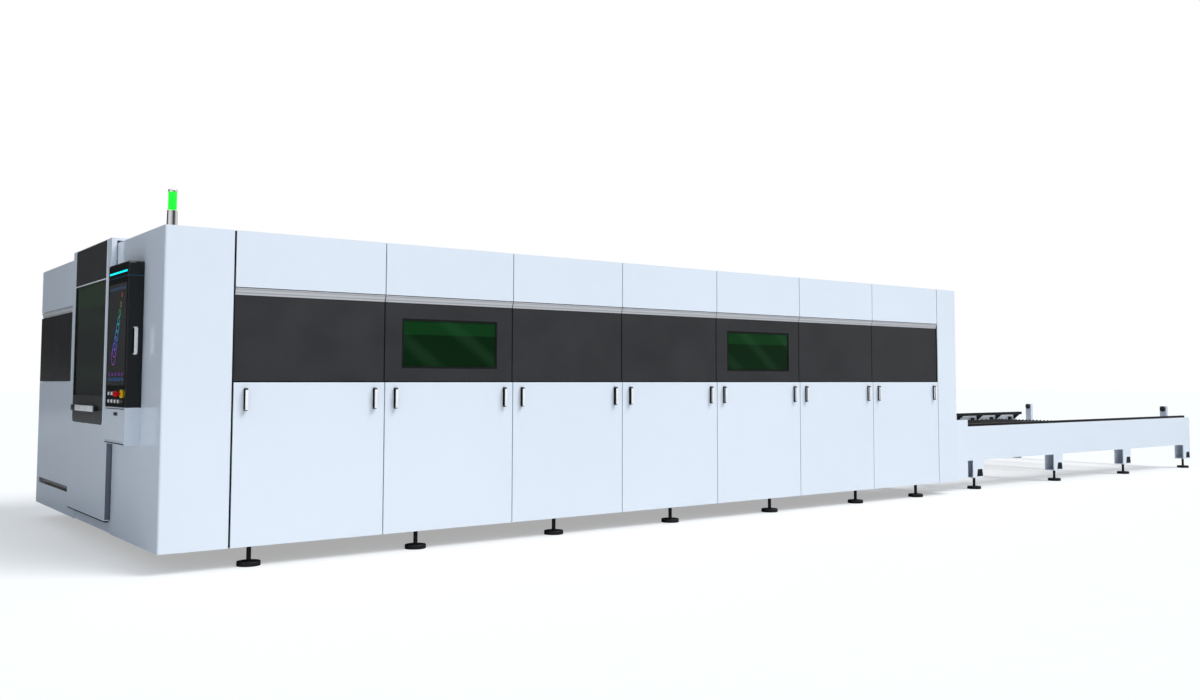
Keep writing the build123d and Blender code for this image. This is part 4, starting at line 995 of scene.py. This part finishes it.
class LASER_OT_levelling_feet(bpy.types.Operator):
    """Make the turned feet: a thick pad with a round rim, a stem and a flared flange."""

    bl_idname = "laser.levelling_feet"
    bl_label = "Levelling feet"

    def execute(self, context):
        sizes = context.scene.laser_fitting
        radius, rows = foot_rows()
        rim, dome, steps, chamfer, neck, neck_drop = 0.005, 0.002, 6, 0.0015, 0.0272, 0.0004
        flare, flare_drop, flare_rise, gap = 0.0025, 0.002, 0.003, 0.0005
        pad = np.concatenate([[[radius - chamfer, 0], [radius, chamfer]],
                              round_edge(radius, sizes.pad_height - dome, rim, rim, steps),
                              [[neck, sizes.pad_height - neck_drop], [sizes.stem_radius, sizes.pad_height]]])
        feet = []
        for places, seat in rows:
            under = seat - sizes.flange_height
            top = [[sizes.stem_radius, under - flare_drop], [sizes.stem_radius + flare, under],
                   [sizes.flange_radius, under + flare_rise], [sizes.flange_radius, seat - gap]]
            feet.append(repeated(turned(np.concatenate([pad, top]), sizes.round_sides), places))
        add_piece("foot_pads", joined(feet), "housing", "black_steel", ("levelling_feet",))
        return {"FINISHED"}


# Table and pallets

def toothed_slat(low, high, depth, pitch, thickness):
    """Slat across the pallet: its upper edge goes between valley and tip, its lower edge is straight."""
    teeth = int(round((high[1] - low[1]) / pitch))
    steps = 2 * teeth + 1
    y = np.linspace(low[1], high[1], steps)
    crest = np.where(np.arange(steps) % 2 == 1, high[2], high[2] - depth)
    floor = np.full(steps, low[2])
    half = thickness / 2
    ring = [(-half, floor), (half, floor), (half, crest), (-half, crest)]
    return skin(np.stack([np.stack([np.full(steps, x), y, z], axis=-1) for x, z in ring], axis=1))


class LASER_OT_pallet_slats(bpy.types.Operator):
    """Make the fine-toothed slats of both pallets."""

    bl_idname = "laser.pallet_slats"
    bl_label = "Pallet slats"

    def execute(self, context):
        sizes = context.scene.laser_fitting
        end_inset = 0.0025
        for level in ("upper", "lower"):
            node = f"{level}_pallet_slats"
            low, high = box_of(node)
            count = int(round((high[0] - low[0]) / sizes.slat_pitch)) + 1
            slat = toothed_slat(low, high, sizes.tooth_depth, sizes.tooth_pitch, sizes.slat_thickness)
            slats = repeated(slat, along_x(np.linspace(low[0] + end_inset, high[0] - end_inset, count)))
            add_piece(f"{level}_slats", slats, f"{level}_pallet", "pallet_steel", (node,), smooth=False)
        return {"FINISHED"}


class LASER_OT_table_fittings(bpy.types.Operator):
    """Make the grooved side rollers, the rubber buffers and the turned nozzle."""

    bl_idname = "laser.table_fittings"
    bl_label = "Table fittings"

    def execute(self, context):
        sides = context.scene.laser_fitting.round_sides
        self.make_rollers(sides)
        self.make_buffers(sides)
        self.make_nozzle(sides)
        return {"FINISHED"}

    def make_rollers(self, sides):
        """Rollers on level axes: a round rim at each end and a shallow groove in the middle."""
        points = points_of("guide_rollers")
        low, high = box_of("guide_rollers")
        radius = (high[2] - low[2]) / 2
        middles = stretches(points[:, 0], radius / 2).mean(axis=1)
        rim, groove, bore_share, side_gap = 0.002, 0.003, 0.3, 0.5
        groove_shares = np.array([0.35, 0.42, 0.58, 0.65])
        groove_radii = radius - groove * np.array([0, 1, 1, 0])
        rollers = []
        for start, stop in stretches(points[:, 1], side_gap):
            length = stop - start
            profile = [(bore_share * radius, 0), (radius - rim, 0), (radius, rim),
                       *zip(groove_radii, groove_shares * length),
                       (radius, length - rim), (radius - rim, length), (bore_share * radius, length)]
            places = along_x(middles) + (0, start, low[2] + radius)
            rollers.append(repeated(turned(profile, sides), places, "+y"))
        add_piece("side_rollers", joined(rollers), "housing", "black_steel", ("guide_rollers",))

    def make_buffers(self, sides):
        """Rubber buffers: a slim foot and a domed head."""
        low, high = box_of("end_stop_buffers")
        depth = high[0] - low[0]
        radius = (high[2] - low[2]) / 2
        step, slope, flat, dome, steps = 0.010, 0.004, 0.006, 0.016, 8
        profile = np.concatenate([[[radius - step, 0], [radius - step, step], [radius, step + slope]],
                                  round_edge(radius, depth, radius - flat, dome, steps)])
        level = (low[2] + high[2]) / 2
        places = [(high[0], low[1] + radius, level), (high[0], high[1] - radius, level)]
        buffers = repeated(turned(profile, sides), places, "-x")
        add_piece("rubber_buffers", buffers, "housing", "buffer_rubber", ("end_stop_buffers",))

    def make_nozzle(self, sides):
        """Turned nozzle: a blunt tip with a hole, a taper and a straight collar."""
        low, high = box_of("nozzle")
        middle = (low + high) / 2
        height = high[2] - low[2]
        radius = (high[0] - low[0]) / 2
        edge, bore, mouth, tip_share, taper_share = 0.0015, 0.003, 0.004, 0.36, 0.74
        tip, taper = tip_share * radius, taper_share * height
        profile = [(bore, edge), (mouth, 0), (tip - edge, 0), (tip, edge), (radius - edge, taper),
                   (radius, taper + edge), (radius, height - edge), (radius - edge, height)]
        nozzle = repeated(turned(profile, sides), (middle[0], middle[1], low[2]))
        add_piece("turned_nozzle", nozzle, "cutting_head", "nozzle_brass", ("nozzle",))


# Stage

class LASER_OT_stage(bpy.types.Operator):
    """Set the floor, the mirrored surround, the even light, the main lamp and the camera."""

    bl_idname = "laser.stage"
    bl_label = "Stage"

    def execute(self, context):
        stage = context.scene.laser_stage
        self.make_floor(stage)
        self.make_surround(stage)
        self.make_world(context.scene, stage)
        self.make_lamp(context.scene, stage)
        self.make_camera(context.scene, stage)
        context.scene.view_settings.view_transform = "Standard"
        return {"FINISHED"}

    def make_floor(self, stage):
        """Flat grid round the origin, with white mixed in for the camera and black for mirrors."""
        cells, darker, scale, detail = 8, -0.005, 0.5, 3
        ticks = np.linspace(-stage.floor_reach, stage.floor_reach, cells + 1)
        x, y = np.meshgrid(ticks, ticks, indexing="ij")
        points = np.stack([x, y, 0 * x], axis=-1).reshape(-1, 3)
        start = np.arange(cells)[:, None] * (cells + 1) + np.arange(cells)[None, :]
        faces = np.stack([start, start + cells + 1, start + cells + 2, start + 1], axis=-1).reshape(-1, 4)
        material, tree, surface = new_finish("floor")
        tones = ramp(tree, pattern(tree, scale, detail), NOISE_SPAN,
                     (shade(stage.floor_colour, darker), stage.floor_colour))
        feed(tree, surface, {"Base Color": tones, "Roughness": 0.6, "Specular IOR Level": 0.0})
        rays = add_node(tree, "LightPath").outputs
        shader = surface.outputs["BSDF"]
        for ray, share, strength in (("Is Camera Ray", stage.floor_share, stage.floor_white),
                                     ("Is Glossy Ray", stage.floor_mirror, 0.0)):
            seen = add_node(tree, "Math", {0: rays[ray], 1: share}, operation="MULTIPLY").outputs["Value"]
            light = add_node(tree, "Emission", {"Strength": strength}).outputs["Emission"]
            shader = add_node(tree, "MixShader", {"Fac": seen, 1: shader, 2: light}).outputs["Shader"]
        feed(tree, tree.nodes["Material Output"], {"Surface": shader})
        new_object("floor", (points, [faces]), material)

    def make_surround(self, stage):
        """Ring that only shiny pieces mirror: dark at two sides, bright between and upwards."""
        sides, bright_share = 96, 0.55
        spots, greys = (0.0, 0.14, 0.35, 0.60, 0.85), (0.03, 0.50, 0.75, 0.75, 0.03)
        outline = [(stage.surround_radius, 0), (stage.surround_radius, stage.surround_height)]
        material = bpy.data.materials.new("surround")
        tree = empty_tree(material)
        place = own_place(tree)
        mapping = add_node(tree, "Mapping", {"Vector": place, "Rotation": (0, 0, -stage.surround_turn)})
        around = spread(tree, part_of(tree, mapping.outputs["Vector"], "X"), 0, 1,
                        (-stage.surround_radius, stage.surround_radius))
        tones = ramp(tree, around, spots, [(grey, grey, grey) for grey in greys])
        rise = spread(tree, part_of(tree, place, "Z"), 0, 1,
                      (bright_share * stage.surround_height, stage.surround_height))
        mix = add_node(tree, "Mix", {"Factor": rise, "A": tones, "B": WHITE}, data_type="RGBA")
        light = add_node(tree, "Emission", {"Color": mix.outputs["Result"]})
        add_node(tree, "OutputMaterial", {"Surface": light.outputs["Emission"]})
        ring = new_object("surround", turned(outline, sides, capped=False), material)
        for ray in ("camera", "diffuse", "shadow", "transmission", "volume_scatter"):
            setattr(ring, f"visible_{ray}", False)

    def make_world(self, scene, stage):
        """White for the camera, mirrors and glass, and an even light for the rest."""
        world = bpy.data.worlds.new("studio")
        tree = empty_tree(world)
        rays = add_node(tree, "LightPath").outputs
        seen = rays["Is Camera Ray"]
        for ray in ("Is Glossy Ray", "Is Transmission Ray"):
            seen = add_node(tree, "Math", {0: seen, 1: rays[ray]}, operation="MAXIMUM").outputs["Value"]
        even = add_node(tree, "Background", {"Color": (*stage.ambient_colour, 1), "Strength": stage.ambient})
        white = add_node(tree, "Background", {"Color": WHITE, "Strength": 1.0})
        mix = add_node(tree, "MixShader", {"Fac": seen, 1: even.outputs["Background"],
                                           2: white.outputs["Background"]})
        add_node(tree, "OutputWorld", {"Surface": mix.outputs["Shader"]})
        scene.world = world

    def make_lamp(self, scene, stage):
        """Wide sun from above the window side."""
        lamp = bpy.data.lights.new("key", "SUN")
        lamp.energy = stage.key_strength
        lamp.angle = stage.key_spread
        key = bpy.data.objects.new("key", lamp)
        key.rotation_euler = stage.key_turn
        scene.collection.objects.link(key)

    def make_camera(self, scene, stage):
        """Camera at the operator's corner of the window side."""
        far_share = 4
        lens = bpy.data.cameras.new("camera")
        lens.lens = stage.camera_lens
        lens.shift_x, lens.shift_y = stage.camera_shift
        lens.clip_end = far_share * stage.floor_reach
        camera = bpy.data.objects.new("camera", lens)
        camera.location = stage.camera_place
        camera.rotation_euler = (stage.camera_pitch, 0, stage.camera_yaw)
        scene.collection.objects.link(camera)
        scene.camera = camera


class LASER_PT_dressing(bpy.types.Panel):
    """Sidebar list of the dressing steps and their settings."""

    bl_idname = "LASER_PT_dressing"
    bl_label = "Sheet laser"
    bl_space_type = "VIEW_3D"
    bl_region_type = "UI"
    bl_category = "Sheet laser"

    def draw(self, context):
        for operator in operators:
            self.layout.operator(operator.bl_idname)
        for group in (context.scene.laser_finish, context.scene.laser_fitting, context.scene.laser_stage):
            box = self.layout.box()
            for name in group.bl_rna.properties.keys():
                if name not in {"rna_type", "name"}:
                    box.prop(group, name)


operators = (LASER_OT_finish_sheets, LASER_OT_access_pulls, LASER_OT_panel_gaskets,
             LASER_OT_door_fittings, LASER_OT_console_fittings, LASER_OT_signal_light,
             LASER_OT_levelling_feet, LASER_OT_pallet_slats, LASER_OT_table_fittings, LASER_OT_stage)
settings = (FinishSettings, FittingSettings, StageSettings)


def register():
    """Add the settings, the steps and the panel."""
    for group in settings + operators + (LASER_PT_dressing,):
        bpy.utils.register_class(group)
    bpy.types.Scene.laser_finish = PointerProperty(type=FinishSettings)
    bpy.types.Scene.laser_fitting = PointerProperty(type=FittingSettings)
    bpy.types.Scene.laser_stage = PointerProperty(type=StageSettings)


def unregister():
    """Take the panel, the steps and the settings away again."""
    del bpy.types.Scene.laser_stage
    del bpy.types.Scene.laser_fitting
    del bpy.types.Scene.laser_finish
    for group in reversed(settings + operators + (LASER_PT_dressing,)):
        bpy.utils.unregister_class(group)


def main():
    """Run every step in order."""
    register()
    bpy.ops.laser.finish_sheets()
    bpy.ops.laser.access_pulls()
    bpy.ops.laser.panel_gaskets()
    bpy.ops.laser.door_fittings()
    bpy.ops.laser.console_fittings()
    bpy.ops.laser.signal_light()
    bpy.ops.laser.levelling_feet()
    bpy.ops.laser.pallet_slats()
    bpy.ops.laser.table_fittings()
    bpy.ops.laser.stage()


if __name__ == "__main__":
    main()
